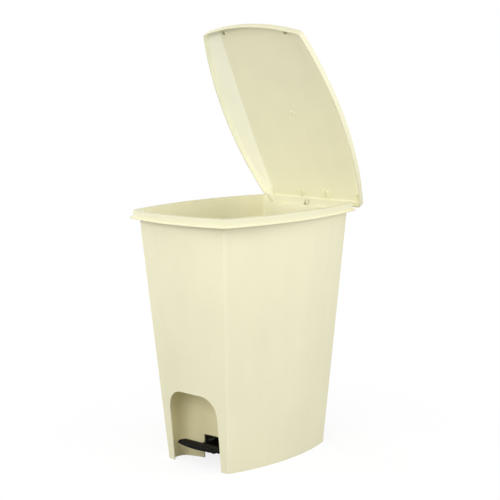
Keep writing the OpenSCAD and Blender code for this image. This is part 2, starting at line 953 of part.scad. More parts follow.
// push-on washer that holds the bent end of the rod in the lever
module rod_clip() color(steel) {
    on_rear()
        translate([0, rod_off, rod_low])
            difference() {
                x_rod(rod_d / 2 + 3, bar_half + 1.2, bar_half + 2.4);
                x_rod(rod_d / 2 + press_fit, 10, rod_end_x);
            }
}

bin_body();
rear_cover();
cover_screws();
rod_guide_lower();
rod_guide_upper();
hinge_pin_left();
hinge_pin_right();
pedal_axle();
axle_clip_left();
axle_clip_right();
axle_spacer_left();
axle_spacer_right();
lid();
bumper_left();
bumper_right();
pedal();
lever_bar();
pedal_rivets();
lift_rod();
rod_head();
rod_clip();
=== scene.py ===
# %% [markdown]
# # A kitchen pedal bin, built round its CAD frame
# The bin is one tapered moulding with a rolled rim, a domed lid hinged at the back, and a black
# pedal in a niche at the front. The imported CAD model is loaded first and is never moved: it says
# where everything is, and each surface made here stands for one of its nodes.

# %% Load the frame
import math
import bmesh
import bpy
import numpy as np
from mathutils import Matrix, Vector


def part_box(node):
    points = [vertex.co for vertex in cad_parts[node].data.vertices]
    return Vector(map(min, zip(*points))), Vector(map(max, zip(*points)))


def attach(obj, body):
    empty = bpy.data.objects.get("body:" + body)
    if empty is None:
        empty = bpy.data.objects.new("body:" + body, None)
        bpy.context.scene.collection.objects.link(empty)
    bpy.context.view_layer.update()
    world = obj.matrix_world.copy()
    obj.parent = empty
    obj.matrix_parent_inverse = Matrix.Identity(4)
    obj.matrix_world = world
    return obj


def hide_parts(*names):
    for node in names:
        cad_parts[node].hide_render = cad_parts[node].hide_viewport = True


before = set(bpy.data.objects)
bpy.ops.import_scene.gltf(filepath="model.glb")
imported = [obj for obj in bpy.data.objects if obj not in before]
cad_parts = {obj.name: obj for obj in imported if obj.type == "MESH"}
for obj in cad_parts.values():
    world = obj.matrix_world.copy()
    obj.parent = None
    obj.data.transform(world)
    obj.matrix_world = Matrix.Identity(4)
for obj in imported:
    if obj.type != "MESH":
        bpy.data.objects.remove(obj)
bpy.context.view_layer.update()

# %% [markdown]
# ## Camera
# The bin is seen from its right front corner, a little above the rim. A camera that looks far down
# would make the upright walls lean together, so this one stands well back with a long lens and is
# tilted only a little.

# %% Camera
MM = 0.001
CAMERA_PLACE = (1948.8, -2204.6, 891.7)
CAMERA_AZIMUTH, CAMERA_ELEVATION = 41.3, 8.4
LENS, SENSOR = 96.76, 36
CLIP_M = 50


def add_object(name, data):
    """A new object with this data, linked to the scene."""
    made = bpy.data.objects.new(name, data)
    bpy.context.scene.collection.objects.link(made)
    return made


def studio_camera(place_mm, azimuth, elevation, lens):
    """A level camera at a place: azimuth 0 looks along +Y, and a positive elevation looks down."""
    cam = add_object("camera", bpy.data.cameras.new("camera"))
    cam.location = [c * MM for c in place_mm]
    cam.rotation_euler = (math.radians(90 - elevation), 0, math.radians(azimuth))
    cam.data.lens = lens
    cam.data.sensor_width = SENSOR
    cam.data.clip_end = CLIP_M
    bpy.context.scene.camera = cam
    return cam


camera = studio_camera(CAMERA_PLACE, CAMERA_AZIMUTH, CAMERA_ELEVATION, LENS)
bpy.context.scene.view_settings.view_transform = "Standard"
print("camera stands at", [round(c, 3) for c in camera.location])

# %% [markdown]
# ## Shader maths as plain expressions
# A node tree is easier to read as arithmetic. One small class holds a socket, and its operators
# add the Math nodes. Everything else comes from one method that makes a node by its type. It
# serves the sky too, so it sits in a class of its own, and a material's finish builds on that.

# %% A socket that can be calculated with


class Value:
    """A socket of a node tree. + and * add Math nodes, also with a plain number on the left."""

    def __init__(self, tree, socket):
        self.tree = tree
        self.socket = socket

    def maths(self, operation, first, second):
        return self.tree.node("ShaderNodeMath", {"operation": operation}, {0: first, 1: second})

    def __add__(self, other):
        return self.maths("ADD", self, other)

    def __radd__(self, other):
        return self.maths("ADD", other, self)

    def __mul__(self, other):
        return self.maths("MULTIPLY", self, other)

    def __rmul__(self, other):
        return self.maths("MULTIPLY", other, self)


class Tree:
    """A node tree being written: node() adds one node with its settings and its sockets."""

    def __init__(self, tree):
        self.tree = tree

    def node(self, kind, settings, inputs, output=0):
        """Adds a node: first its settings, then the values or links of its sockets."""
        made = self.tree.nodes.new(kind)
        for key, value in settings.items():
            if key == "stops":
                self.stops(made.color_ramp.elements, value)
            else:
                setattr(made, key, value)
        for key, value in inputs.items():
            self.feed(made.inputs[key], value)
        return Value(self, made.outputs[output])

    def stops(self, ramp, stops):
        """Sets a ramp's stops, given as (position, grey level)."""
        while len(ramp) < len(stops):
            ramp.new(0.5)
        for element, (position, level) in zip(ramp, stops):
            element.position = position
            element.color = (level, level, level, 1)

    def feed(self, socket, value):
        """Links a Value to a socket, or sets the socket's own value."""
        if isinstance(value, Value):
            self.tree.links.new(value.socket, socket)
        else:
            socket.default_value = value


class Finish(Tree):
    """A material being written: surface() sets the plastic or metal."""

    def __init__(self, name):
        self.material = bpy.data.materials.new(name)
        self.material.use_nodes = True
        super().__init__(self.material.node_tree)
        self.bsdf = self.tree.nodes["Principled BSDF"]
        self.place = self.node("ShaderNodeTexCoord", {}, {}, "Object")

    def noise(self, scale, detail=2.0, rough=0.5, stretch=(1, 1, 1)):
        """Noise on object coordinates, pulled out along an axis where stretch is under 1."""
        place = self.node("ShaderNodeMapping", {}, {"Vector": self.place, "Scale": stretch})
        inputs = {"Vector": place, "Scale": scale, "Detail": detail, "Roughness": rough}
        return self.node("ShaderNodeTexNoise", {}, inputs, "Fac")

    def ramp(self, value, stops):
        """Grey level of a value, read off a ramp of (position, level) stops."""
        return self.node("ShaderNodeValToRGB", {"stops": stops}, {"Fac": value})

    def mix(self, amount, first, second):
        """Mixes two colours. A colour is a link or a list of red, green and blue. The node's
        sockets for colours are numbers 6 and 7, and its output for a colour is number 2."""
        ends = [c if isinstance(c, Value) else (*c, 1) for c in (first, second)]
        inputs = {0: amount, 6: ends[0], 7: ends[1]}
        return self.node("ShaderNodeMix", {"data_type": "RGBA"}, inputs, 2)

    def bump(self, height, distance_mm, strength=1.0):
        """The surface's normal, tilted as if height stood distance_mm out of it."""
        inputs = {"Height": height, "Distance": distance_mm * MM, "Strength": strength}
        return self.node("ShaderNodeBump", {}, inputs)

    def surface(self, **sockets):
        """Feeds the shader's own sockets, by plain names, and gives back the material."""
        names = {"colour": "Base Color", "roughness": "Roughness", "metallic": "Metallic",
                 "normal": "Normal", "specular": "Specular IOR Level"}
        for key, value in sockets.items():
            self.feed(self.bsdf.inputs[names[key]], value)
        return self.material


def linear(red, green, blue):
    """Screen colour of 0 to 255 as the linear light that the shader works in."""
    return tuple(((c / 255 + 0.055) / 1.055) ** 2.4 for c in (red, green, blue))


print("mid grey in linear light:", round(linear(128, 128, 128)[0], 3))

# %% [markdown]
# ## Finishes
# Moulded polypropylene isn't one flat colour. The melt leaves faint clouds and upright flow
# streaks, the mould leaves a very fine grain, and handling leaves soft smears in the gloss. A
# painted image could show that, but noise worked out in the shader stays sharp at every distance
# and needs no unwrapping. The plastic is one and the same, but it is made once for each of several
# tones, and these tones are painted light and shade: a darker rim band, a painted highlight on the
# outer corners, a yellower niche for the bounce light in its shade, and on the lid a darker
# outside, a paler inner panel and a palest left facet.

# %% Cream plastic
DARK_SHARE, SPECK_SHARE, SPECK_DEPTH = 0.975, 0.9, 0.06
UPRIGHT, WIPED = (1, 1, 0.12), (1, 1, 0.35)


def cream_plastic(name, tone):
    """Cream times clouds and streaks; roughness from smears; bump from mould grain and ripple."""
    f = Finish(name)
    clouds = f.noise(5.0, 3.0)
    streaks = f.noise(26.0, 3.0, 0.55, UPRIGHT)
    cloudy = f.ramp(0.68 * clouds + 0.32 * streaks, [(0.34, 0.0), (0.66, 1.0)])
    colour = f.mix(cloudy, linear(*(c * DARK_SHARE for c in tone)), linear(*tone))
    clear = f.ramp(f.noise(420.0), [(0.30, 0.0), (0.45, 1.0)])
    speck = linear(*(c * SPECK_SHARE for c in tone))
    colour = f.mix(clear * SPECK_DEPTH + (1 - SPECK_DEPTH), speck, colour)
    smears = f.noise(14.0, 4.0, 0.6, WIPED)
    grain = f.noise(1400.0, 2.0, 0.6)
    ripple = f.noise(9.0, 1.0)
    return f.surface(colour=colour, roughness=0.44 + 0.18 * smears, specular=0.36,
                     normal=f.bump(0.07 * grain + ripple, 0.30, 0.55))


# cream_plastic is the plastic's own tone. The others are painted light and shade: the rim band is darker
# as painted shade, the outer corners paler as a painted highlight, the niche yellower as painted bounce
# light in its shade, the lid's outside darker as painted shade, and its inner panel and left facet paler
# as painted light.
CREAM_TONES = {"cream_plastic": (236, 232, 200), "rim_shaded_plastic": (224, 221, 190),
               "corner_highlight_plastic": (241, 237, 205), "niche_bounce_light_plastic": (238, 230, 186),
               "lid_shaded_plastic": (231, 228, 196), "lid_panel_lit_plastic": (243, 240, 208),
               "lid_facet_highlight_plastic": (253, 252, 230)}
creams = {name: cream_plastic(name, tone) for name, tone in CREAM_TONES.items()}
print("cream finishes:", ", ".join(creams))

# %% Black plastic, nylon, rubber and steel
BLACKS = (linear(6, 6, 7), linear(20, 20, 21))
NYLONS = (linear(206, 203, 190), linear(230, 228, 218))
RUBBERS = (linear(150, 146, 122), linear(170, 166, 142))
ZINCS = (linear(168, 170, 172), linear(206, 208, 210))


def black_plastic():
    """Near black with dust clouds; the fine grain of an eroded mould in the bump."""
    f = Finish("black_plastic")
    dust = f.noise(30.0, 4.0, 0.6)
    worn = f.ramp(dust, [(0.45, 0.0), (0.75, 1.0)])
    grain = f.noise(1600.0, 3.0, 0.6)
    return f.surface(colour=f.mix(worn * 0.5, *BLACKS), roughness=0.42 + 0.22 * dust,
                     specular=0.14, normal=f.bump(grain, 0.06, 0.8))


def nylon():
    """Milky white, a little yellow in clouds, with a smooth slightly waxy surface."""
    f = Finish("nylon")
    clouds = f.noise(60.0, 2.0)
    return f.surface(colour=f.mix(clouds, *NYLONS), roughness=0.38 + 0.1 * clouds,
                     normal=f.bump(f.noise(900.0), 0.03, 0.5))


def rubber():
    """Matt warm grey with a powdery bloom."""
    f = Finish("rubber")
    bloom = f.noise(180.0, 3.0)
    return f.surface(colour=f.mix(bloom, *RUBBERS), roughness=0.75 + 0.1 * bloom,
                     normal=f.bump(f.noise(1200.0), 0.05, 0.6))


def zinc_steel(name, stretch):
    """Zinc plate over steel: brushed lines along one way, with cloudy patches in the gloss."""
    f = Finish(name)
    lines = f.noise(700.0, 2.0, 0.5, stretch)
    patches = f.noise(40.0, 3.0)
    colour = f.mix(0.5 * lines + 0.5 * patches, *ZINCS)
    return f.surface(colour=colour, metallic=1.0, roughness=0.24 + 0.22 * patches,
                     normal=f.bump(lines, 0.02, 0.5))


black = black_plastic()
white_nylon = nylon()
grey_rubber = rubber()
bar_steel = zinc_steel("bar_steel", (1, 0.06, 1))
pin_steel = zinc_steel("pin_steel", (0.06, 1, 1))
rod_steel = zinc_steel("rod_steel", (1, 1, 0.05))
print("finishes made:", len(bpy.data.materials))

# %% [markdown]
# ## From arrays to pieces
# Each surface is a grid of points, worked out for all rows and columns at once. The next cell
# turns such a grid into faces and several grids into one mesh, and lets edges stay crisp where
# the surface turns by more than a set angle.

# %% Mesh helpers
SMOOTH_ANGLE = math.radians(34)


def grid_faces(rows, cols, start=0):
    """Quads between neighbouring rows and columns; the last column joins the first."""
    r = np.arange(rows - 1)[:, None]
    c = np.arange(cols)[None, :]
    n = (c + 1) % cols
    quads = np.stack([r * cols + c, r * cols + n, (r + 1) * cols + n, (r + 1) * cols + c], -1)
    return quads.reshape(-1, 4) + start


def tidy_mesh(mesh):
    """Drops points that no face uses and turns all faces outward, shell by shell."""
    work = bmesh.new()
    work.from_mesh(mesh)
    unused = [v for v in work.verts if not v.link_faces]
    bmesh.ops.delete(work, geom=unused, context="VERTS")
    bmesh.ops.recalc_face_normals(work, faces=work.faces)
    leaks = sum(1 for e in work.edges if len(e.link_faces) != 2)
    work.to_mesh(mesh)
    work.free()
    if leaks:
        print("  warning:", mesh.name, "has", leaks, "edges without two faces")


def face_facts(mesh):
    """The middle of every face in mm, and its outward direction."""
    middle = np.empty(len(mesh.polygons) * 3)
    normal = np.empty(len(mesh.polygons) * 3)
    mesh.polygons.foreach_get("center", middle)
    mesh.polygons.foreach_get("normal", normal)
    return middle.reshape(-1, 3) / MM, normal.reshape(-1, 3)


def finish_faces(mesh, number):
    """Gives each face the finish with its number, counted in the mesh's list of finishes."""
    mesh.polygons.foreach_set("material_index", np.asarray(number, np.int32))
    mesh.update()
    print(mesh.name, "faces per finish:", np.bincount(number).tolist())


def make_piece(name, parts, material, body, node):
    """One object from several (points in mm, faces) parts, riding on a body for a CAD node."""
    points, faces, start = [], [], 0
    for part_points, part_faces in parts:
        points.append(np.asarray(part_points, float).reshape(-1, 3))
        faces += [tuple(int(i) + start for i in f) for f in part_faces]
        start += len(points[-1])
    mesh = bpy.data.meshes.new(name)
    mesh.from_pydata((np.concatenate(points) * MM).tolist(), [], faces)
    tidy_mesh(mesh)
    mesh.shade_smooth()
    mesh.set_sharp_from_angle(angle=SMOOTH_ANGLE)
    mesh.materials.append(material)
    piece = add_object(name, mesh)
    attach(piece, body)
    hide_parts(node)
    print(name, "has", len(mesh.vertices), "points and", len(mesh.polygons), "faces")
    return piece


def soft_corner(start, corner, end, radius, steps):
    """Rounds a corner: a quadratic curve from one side to the other, radius mm out each way."""
    def toward(target):
        way = target - corner
        return corner + way / np.linalg.norm(way, axis=-1, keepdims=True) * radius
    a, b = toward(start), toward(end)
    s = np.linspace(0, 1, steps + 1).reshape((-1,) + (1,) * np.ndim(corner))
    return (1 - s) ** 2 * a + 2 * s * (1 - s) * corner + s ** 2 * b


# %% [markdown]
# ## The plan of the bin
# Seen from above, all four sides of the bin are shallow arcs that meet in small corner circles.
# The same plan, with other numbers, gives the wall at every height, the rim and the lid. Columns
# of the grid run up the wall; along the front and the back they stand at chosen X values, so
# that the edges of the niche and of the hinge recess fall on a column.

# %% Plan of bowed sides and round corners
SIDE_STEPS, CORNER_STEPS = 22, 8


def plan_quarter(half_w, half_d, side_bow, end_bow, radius, end_x):
    """A quarter of the plan: side arc, corner circle, end arc. All inputs are arrays over rows.

    A side bowed by s over a half length b lies on a circle of radius (b*b + s*s) / 2s. The corner
    circle touches both arcs from inside, so its centre is where two shrunk circles cross: ra and
    rb are the radii of side and end, c1 and c2 their middles. end_x(edge) gives the X values of
    the end arc's columns from its edge to the middle.
    """
    ra = (half_d ** 2 + side_bow ** 2) / (2 * side_bow)
    rb = (half_w ** 2 + end_bow ** 2) / (2 * end_bow)
    c1 = np.stack([half_w + side_bow - ra, 0 * ra], -1)
    c2 = np.stack([0 * rb, half_d + end_bow - rb], -1)
    between = c2 - c1
    d = np.linalg.norm(between, axis=-1)
    e = between / d[:, None]
    m = ((ra - radius) ** 2 - (rb - radius) ** 2 + d ** 2) / (2 * d)
    h = np.sqrt((ra - radius) ** 2 - m ** 2)
    across = np.stack([-e[:, 1], e[:, 0]], -1)
    p, q = c1 + m[:, None] * e + h[:, None] * across, c1 + m[:, None] * e - h[:, None] * across
    p = np.where((p.sum(-1) > q.sum(-1))[:, None], p, q)
    t1 = np.arctan2(p[:, 1] - c1[:, 1], p[:, 0] - c1[:, 0])
    t2 = np.arctan2(p[:, 1] - c2[:, 1], p[:, 0] - c2[:, 0])
    s = np.linspace(0, 1, SIDE_STEPS, endpoint=False)[None, :]
    side_t = t1[:, None] * s
    side = c1[:, None, :] + ra[:, None, None] * np.stack([np.cos(side_t), np.sin(side_t)], -1)
    w = np.linspace(0, 1, CORNER_STEPS, endpoint=False)[None, :]
    turn = t1[:, None] + (t2 - t1)[:, None] * w
    corner = p[:, None, :] + radius[:, None, None] * np.stack([np.cos(turn), np.sin(turn)], -1)
    edge = p[:, 0] + radius * np.cos(t2)
    x = end_x(edge)
    y = c2[:, 1][:, None] + np.sqrt(rb[:, None] ** 2 - x ** 2)
    return side, corner, np.stack([x, y], -1)


def plan(half_w, half_d, side_bow, front_bow, rear_bow, radius, mid_y, front_x, rear_x):
    """The closed plan for every row: points from the middle of the right side round by the back.

    The four quarters are the same three arcs, mirrored, so every row has the same columns.
    """
    rows = np.broadcast_arrays(*[np.atleast_1d(np.asarray(v, float)) for v in
                                 (half_w, half_d, side_bow, front_bow, rear_bow, radius, mid_y)])
    half_w, half_d, side_bow, front_bow, rear_bow, radius, mid_y = rows
    back = np.concatenate(plan_quarter(half_w, half_d, side_bow, rear_bow, radius, rear_x), 1)
    front = np.concatenate(plan_quarter(half_w, half_d, side_bow, front_bow, radius, front_x), 1)
    back_left = back[:, -2::-1] * [-1, 1]
    front_left = front[:, 1:] * [-1, -1]
    front_right = front[:, -2:0:-1] * [1, -1]
    ring = np.concatenate([back, back_left, front_left, front_right], 1)
    return ring + np.stack([0 * mid_y, mid_y], -1)[:, None, :]


print("columns of a quarter before its end arc:", SIDE_STEPS + CORNER_STEPS)

# %% [markdown]
# ## The shell of the bin
# The real bin is injection moulded in one shot: wall, rolled rim, ledge and niche are all one
# skin about 2.6 mm thick. It could be cut from solids, but then every fillet would be hard. Here
# one closed path goes up the outside, round the rim and down the inside, and is carried round
# the plan. Holes are cells of the grid that are left out, and a strip closes their edges.

# %% Sizes of the shell, in mm, as in the frame
# half width, half depth, bow of the sides, bow of the front, corner radius and middle Y of a plan
FOOT = {"w": 89.0, "d": 164.0, "side": 27.0, "front": 2.0, "r": 7.0, "y": 6.0}
RIM = {"w": 124.0, "d": 206.5, "side": 33.0, "front": 24.0, "r": 9.0, "y": 0.0}
REAR_BOW = 0.4
WALL = 2.6
# heights of the wall's end, of the flat deck inside the rear fence and of the rim's top, and how
# far the band and the ledge stand out of the wall
BODY_H, DECK_Z, TOP_Z = 540.0, 540.0, 555.6
BAND, LEDGE = 11.0, 16.5
# X at the back: the low fence, the slots of the ears, the notch of the lift lug; two columns of
# the grid stand SLIT to each side of such a place, so that the rim may change its cut there
RECESS, RECESS_END, REAR_EDGE = 112.0, 114.4, 115.4
EAR_IN, EAR_OUT, NOTCH = 30.5, 41.5, 5.0
SLIT = 0.02
ARCH_HALF, ARCH_TOP, ARCH_R = 70.0, 165.0, 42.0
WINDOW_HALF, WINDOW_LOW, WINDOW_TOP = 19.0, 3.6, 50.0
low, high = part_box("bin_body")
print("frame's shell is", [round((h - l) / MM, 1) for l, h in zip(low, high)], "mm")

# %% Columns along the front and the back
FRONT_FIXED = np.array([ARCH_HALF, 66.5, 62, 56, 49, 42, 35, 28, 21, 14, 7, 0])
FRONT_OUTER = np.array([1, 0.85, 0.7, 0.55, 0.4, 0.25, 0.12])
REAR_FIXED = np.array([50, 46, EAR_OUT + SLIT, EAR_OUT - SLIT, 36, EAR_IN + SLIT, EAR_IN - SLIT, 26,
                       22, WINDOW_HALF, 14, 9, NOTCH + SLIT, NOTCH - SLIT, 2.5, 0])
REAR_OUTER_X = np.array([REAR_EDGE, RECESS_END + SLIT, RECESS_END - SLIT, RECESS + SLIT,
                         RECESS - SLIT, 100, 88, 76, 64, 56])
REAR_OUTER = (REAR_OUTER_X - REAR_FIXED[0]) / (REAR_EDGE - REAR_FIXED[0])


def end_columns(fixed, outer):
    """X of an end's columns: shares of the run from the last fixed column out to the corner,
    then the fixed ones."""
    def columns(edge):
        run = fixed[0] + (edge[:, None] - fixed[0]) * outer[None, :]
        return np.concatenate([run, np.broadcast_to(fixed, (len(edge), len(fixed)))], 1)
    return columns


front_columns = end_columns(FRONT_FIXED, FRONT_OUTER)
rear_columns = end_columns(REAR_FIXED, REAR_OUTER)
print("columns from corner to middle:", len(FRONT_OUTER) + len(FRONT_FIXED), "in front,",
      len(REAR_OUTER) + len(REAR_FIXED), "at the back")

# %% Plan of the wall at any height


def wall_plan(level, grow):
    """Plan of the wall at a height, grown outward by grow: every size runs straight up from foot
    to rim, so height / BODY_H mixes the two ends."""
    k = np.clip(np.asarray(level, float) / BODY_H, 0, 1)
    size = {key: FOOT[key] + (RIM[key] - FOOT[key]) * k for key in FOOT}
    return plan(size["w"] + grow, size["d"] + grow, size["side"], size["front"], REAR_BOW + 0 * k,
                size["r"] + grow, size["y"], front_columns, rear_columns)


print("at the foot the wall reaches X =", wall_plan([0], 0)[0][:, 0].max().round(1), "mm")

# %% [markdown]
# ## The rim
# The moulder rolls the rim outward, so that it is stiff and kind to the hands. Cut across, it is a
# hook: up the wall, out under the ledge, up the band, and back over the top to the inside. At the
# back the same hook is cut down to a low fence, with a slot for each ear of the lid and a notch
# for its lift lug. All four cuts have the same number of points, so that a column may take any.

# %% Rim paths
SOFT_STEPS, UNDER_CORNERS = 3, 4


def soft_path(corners):
    """A path of (out, up, radius) corners: each inner corner becomes a small curve."""
    spots = np.array([c[:2] for c in corners], float)
    runs = [soft_corner(spots[i - 1], spots[i], spots[i + 1], corners[i][2], SOFT_STEPS)
            for i in range(1, len(corners) - 1)]
    return np.concatenate(runs)


START, END = (0, 530, 0), (-WALL, 530, 0)
BAND_IN, EAR_LEDGE = 8.6, 11.7
ROOF, UNDER, OVER = 553.2, 538.0, 540.5
FENCE_TOP, REAR_UNDER, REAR_OVER = 554.0, 537.6, 540.3
ROLLED = [START, (0, ROOF, 0.6), (BAND_IN, ROOF, 0.6), (BAND_IN, UNDER, 0.5), (LEDGE, UNDER, 0.7),
          (LEDGE, OVER, 0.7), (BAND, OVER, 0.5), (BAND, TOP_Z, 1.5), (7.0, TOP_Z, 0.2),
          (3.0, TOP_Z, 0.2), (-WALL, TOP_Z, 1.2), END]
REAR_FOOT = [START, (0, REAR_UNDER, 0.5), (3.0, REAR_UNDER, 0.2), (8.0, REAR_UNDER, 0.2)]
FENCE = [(BAND, FENCE_TOP, 0.8), (BAND_IN, FENCE_TOP, 0.8), (BAND_IN, DECK_Z, 0.5),
         (-WALL, DECK_Z, 1.0), END]
FENCED = REAR_FOOT + [(LEDGE, REAR_UNDER, 0.7), (LEDGE, REAR_OVER, 0.7),
                      (BAND, REAR_OVER, 0.5)] + FENCE
EAR_SLOT = REAR_FOOT + [(EAR_LEDGE, REAR_UNDER, 0.4), (EAR_LEDGE, REAR_OVER, 0.3),
                        (BAND, REAR_OVER, 0.1)] + FENCE
NOTCHED = [START, (0, 537.0, 0.1), (0.3, 537.3, 0.05), (0.6, 537.6, 0.05), (0.9, 537.9, 0.05),
           (0.9, DECK_Z, 0.2), (0.5, DECK_Z, 0.05), (0.3, DECK_Z, 0.05), (0.1, DECK_Z, 0.05),
           (-0.1, DECK_Z, 0.05), (-WALL, DECK_Z, 1.0), END]
rim_paths = {name: soft_path(path) for name, path in
             {"rolled": ROLLED, "fenced": FENCED, "slot": EAR_SLOT, "notch": NOTCHED}.items()}
RIM_ROWS = len(rim_paths["rolled"])
UNDER_ROWS = UNDER_CORNERS * (SOFT_STEPS + 1)
print("rim path has", RIM_ROWS, "rows")

# %% [markdown]
# ## The wall with its arch and its window
# The niche opens in an arch at the front, and the lever reaches its rod through a window at the
# back. A boolean would cut both across the grid's cells and leave slivers. Here the rows of the
# grid bend along the arch, and rows and columns stand at the window's edges, so that whole cells
# can be left out.

# %% Levels of the wall
SPRING_Z = ARCH_TOP - ARCH_R
LOW_Z = np.array([0, 0.9, WINDOW_LOW, 12, 22, 32, 41, WINDOW_TOP, 62, 76, 92, 108, SPRING_Z])
ARCH_Z = np.array([134, 144, 154, 166, 180, 198])
HIGH_Z = np.concatenate([np.linspace(218, 500, 16), [516, 526]])
LEVELS = np.concatenate([LOW_Z, ARCH_Z, HIGH_Z])
SPRING_ROW = len(LOW_Z) - 1
BLEND_ROW = SPRING_ROW + len(ARCH_Z)
WALL_ROWS = len(LEVELS)
print("wall has", WALL_ROWS, "rows; the arch springs at", SPRING_Z, "mm")


def shell_levels(x, is_front):
    """Height of every wall row and column: level, but over the arch the lowest rows bend along it.

    The arch is flat in the middle and a circle at each side. Rows from the arch up to a plain
    level share the height between them evenly.
    """
    z = np.repeat(LEVELS[:, None], len(x), 1)
    near = is_front & (np.abs(x) <= ARCH_HALF + 1e-6)
    side = np.clip(np.abs(x) - (ARCH_HALF - ARCH_R), 0, ARCH_R)
    arch = SPRING_Z + np.sqrt(np.maximum(ARCH_R ** 2 - side ** 2, 0))
    rows = np.arange(SPRING_ROW, BLEND_ROW + 1)
    share = (LEVELS[rows] - LEVELS[SPRING_ROW]) / (LEVELS[BLEND_ROW] - LEVELS[SPRING_ROW])
    bent = arch[None, :] + (LEVELS[BLEND_ROW] - arch[None, :]) * share[:, None]
    z[rows] = np.where(near[None, :], bent, z[rows])
    return z


# %% The shell's grid


def own_columns(height, reach):
    """Points where every column has its own heights and reach: each column is taken from a plan
    worked out at its own height, grown by its own reach."""
    rows, cols = height.shape
    flat = wall_plan(height.reshape(-1), reach.reshape(-1))
    return flat.reshape(rows, cols, cols, 2)[:, np.arange(cols), np.arange(cols)]


def rim_rows(x, is_rear):
    """Out and up of each rim row for each column, by where the column stands at the back."""
    away = np.abs(x)
    names = np.full(len(x), "rolled", dtype=object)
    names[is_rear & (away < RECESS)] = "fenced"
    names[is_rear & (away < EAR_OUT) & (away > EAR_IN)] = "slot"
    names[is_rear & (away < NOTCH)] = "notch"
    under = names.copy()
    under[is_rear & (away < RECESS_END) & (under == "rolled")] = "fenced"
    path = np.stack([rim_paths[n] for n in names], 1)
    path[:UNDER_ROWS] = np.stack([rim_paths[n][:UNDER_ROWS] for n in under], 1)
    return path


def wall_skin(grow):
    """One skin of the wall over all levels, grown outward by grow."""
    return np.concatenate([own_columns(levels, np.full(levels.shape, grow)), levels[..., None]], -1)


def rim_skin(path):
    """The rim: its plan grown by each point's own reach, at each point's own height."""
    plan_points = own_columns(np.full(path.shape[:2], BODY_H), path[..., 0])
    return np.concatenate([plan_points, path[..., 1:]], -1)


FRONT_SLACK, REAR_SLACK = 2.0, 3.0
column_x, column_y = wall_plan([BODY_H], 0.0)[0].T
foot_x = wall_plan([0.0], 0.0)[0][:, 0]
on_front = column_y < FRONT_SLACK - RIM["d"]
on_rear = column_y > RIM["d"] - REAR_SLACK
levels = shell_levels(foot_x, on_front)
rim = rim_skin(rim_rows(column_x, on_rear))
shell = np.concatenate([wall_skin(0.0), rim, wall_skin(-WALL)[::-1]], 0)
print("shell grid:", shell.shape)

# %% Faces between two skins


def two_skins(out, inn, opening, wrap):
    """Faces of a wall between two grids of point numbers: both skins without the open cells, and
    a strip from skin to skin along every edge where a shut cell meets an open one or the end."""
    rows, cols = out.shape
    n = cols if wrap else cols - 1
    c0 = np.arange(n)
    c1 = (c0 + 1) % cols
    shut = ~opening[:, :n]
    r, c = np.nonzero(shut)
    faces = [np.stack([g[r, c0[c]], g[r, c1[c]], g[r + 1, c1[c]], g[r + 1, c0[c]]], -1)
             for g in (out, inn)]
    ends = np.zeros((1, n), bool)
    r, c = np.nonzero(np.concatenate([ends, shut]) != np.concatenate([shut, ends]))
    faces.append(np.stack([out[r, c0[c]], out[r, c1[c]], inn[r, c1[c]], inn[r, c0[c]]], -1))
    if wrap:
        r, c = np.nonzero(shut != np.roll(shut, 1, 1))
    else:
        ends = np.zeros((rows - 1, 1), bool)
        r, c = np.nonzero(np.concatenate([ends, shut], 1) != np.concatenate([shut, ends], 1))
    faces.append(np.stack([out[r, c], out[r + 1, c], inn[r + 1, c], inn[r, c]], -1))
    return np.concatenate(faces)


def sheet_part(out, inn, opening=None):
    """A closed wall between two grids of points of the same shape."""
    rows, cols = out.shape[:2]
    number = np.arange(rows * cols).reshape(rows, cols)
    if opening is None:
        opening = np.zeros((rows - 1, cols), bool)
    faces = two_skins(number, number + rows * cols, opening, False)
    return np.concatenate([out.reshape(-1, 3), inn.reshape(-1, 3)]), faces


one_cell = np.zeros((2, 2, 3))
print("a wall of one cell has", len(sheet_part(one_cell, one_cell)[1]), "faces")

# %% Faces of the shell, without the niche arch and the lever's window


def open_cells(x):
    """True for wall cells that are left out: below the arch, and inside the rear window."""
    mid = (x + np.roll(x, -1)) / 2
    col_front = on_front & np.roll(on_front, -1)
    col_rear = on_rear & np.roll(on_rear, -1)
    row = np.arange(WALL_ROWS - 1)[:, None]
    arch = (row < SPRING_ROW) & (col_front & (np.abs(mid) < ARCH_HALF))[None, :]
    first, last = LEVELS.searchsorted([WINDOW_LOW, WINDOW_TOP])
    window = (row >= first) & (row < last) & (col_rear & (np.abs(mid) < WINDOW_HALF))[None, :]
    return arch | window


def shell_faces(opening, rows, cols):
    """Both skins of the wall with their openings, then the rim from the outer to the inner."""
    number = np.arange(rows * cols).reshape(rows, cols)
    wall = two_skins(number[:WALL_ROWS], number[::-1][:WALL_ROWS], opening, True)
    top = np.all(np.isin(wall, number[[WALL_ROWS - 1, rows - WALL_ROWS]]), -1)
    start = (WALL_ROWS - 1) * cols
    return np.concatenate([wall[~top], grid_faces(RIM_ROWS + 2, cols, start)])


opening = open_cells(foot_x)
shell_part = (shell.reshape(-1, 3), shell_faces(opening, *shell.shape[:2]))
print("cells left out:", int(opening.sum()))

# %% [markdown]
# ## Inside the shell: niche, floor, ribs and lugs
# The niche is a bowed wall with a flat ceiling, behind the arch. A floor plate closes the bin
# above the lever. At the back two ribs guide the rod, four bosses take the cover's screws, and
# bored lugs carry the hinge pins and the axle. They are closed walls that run a little into the
# shell, as ribs do in a moulding.

# %% Walls of the niche
NICHE_HALF, NICHE_BACK, NICHE_BOW, NICHE_R, NICHE_TOP = 82.0, -101.0, 190.0, 22.0, 168.0
NICHE_FRONT, NICHE_SIDE, NICHE_TURN = -170.0, 5, 9
SLOT_HALF, SLOT_TOP = 31.5, 53.5
NICHE_X = np.array([NICHE_HALF - NICHE_R, 53, 46, 39, SLOT_HALF, 26, 20, 14, 7, 0])
NICHE_Z = np.array([0, 12, 25, 38, SLOT_TOP, 66, 84, 104, 126, 148, NICHE_TOP + 1])


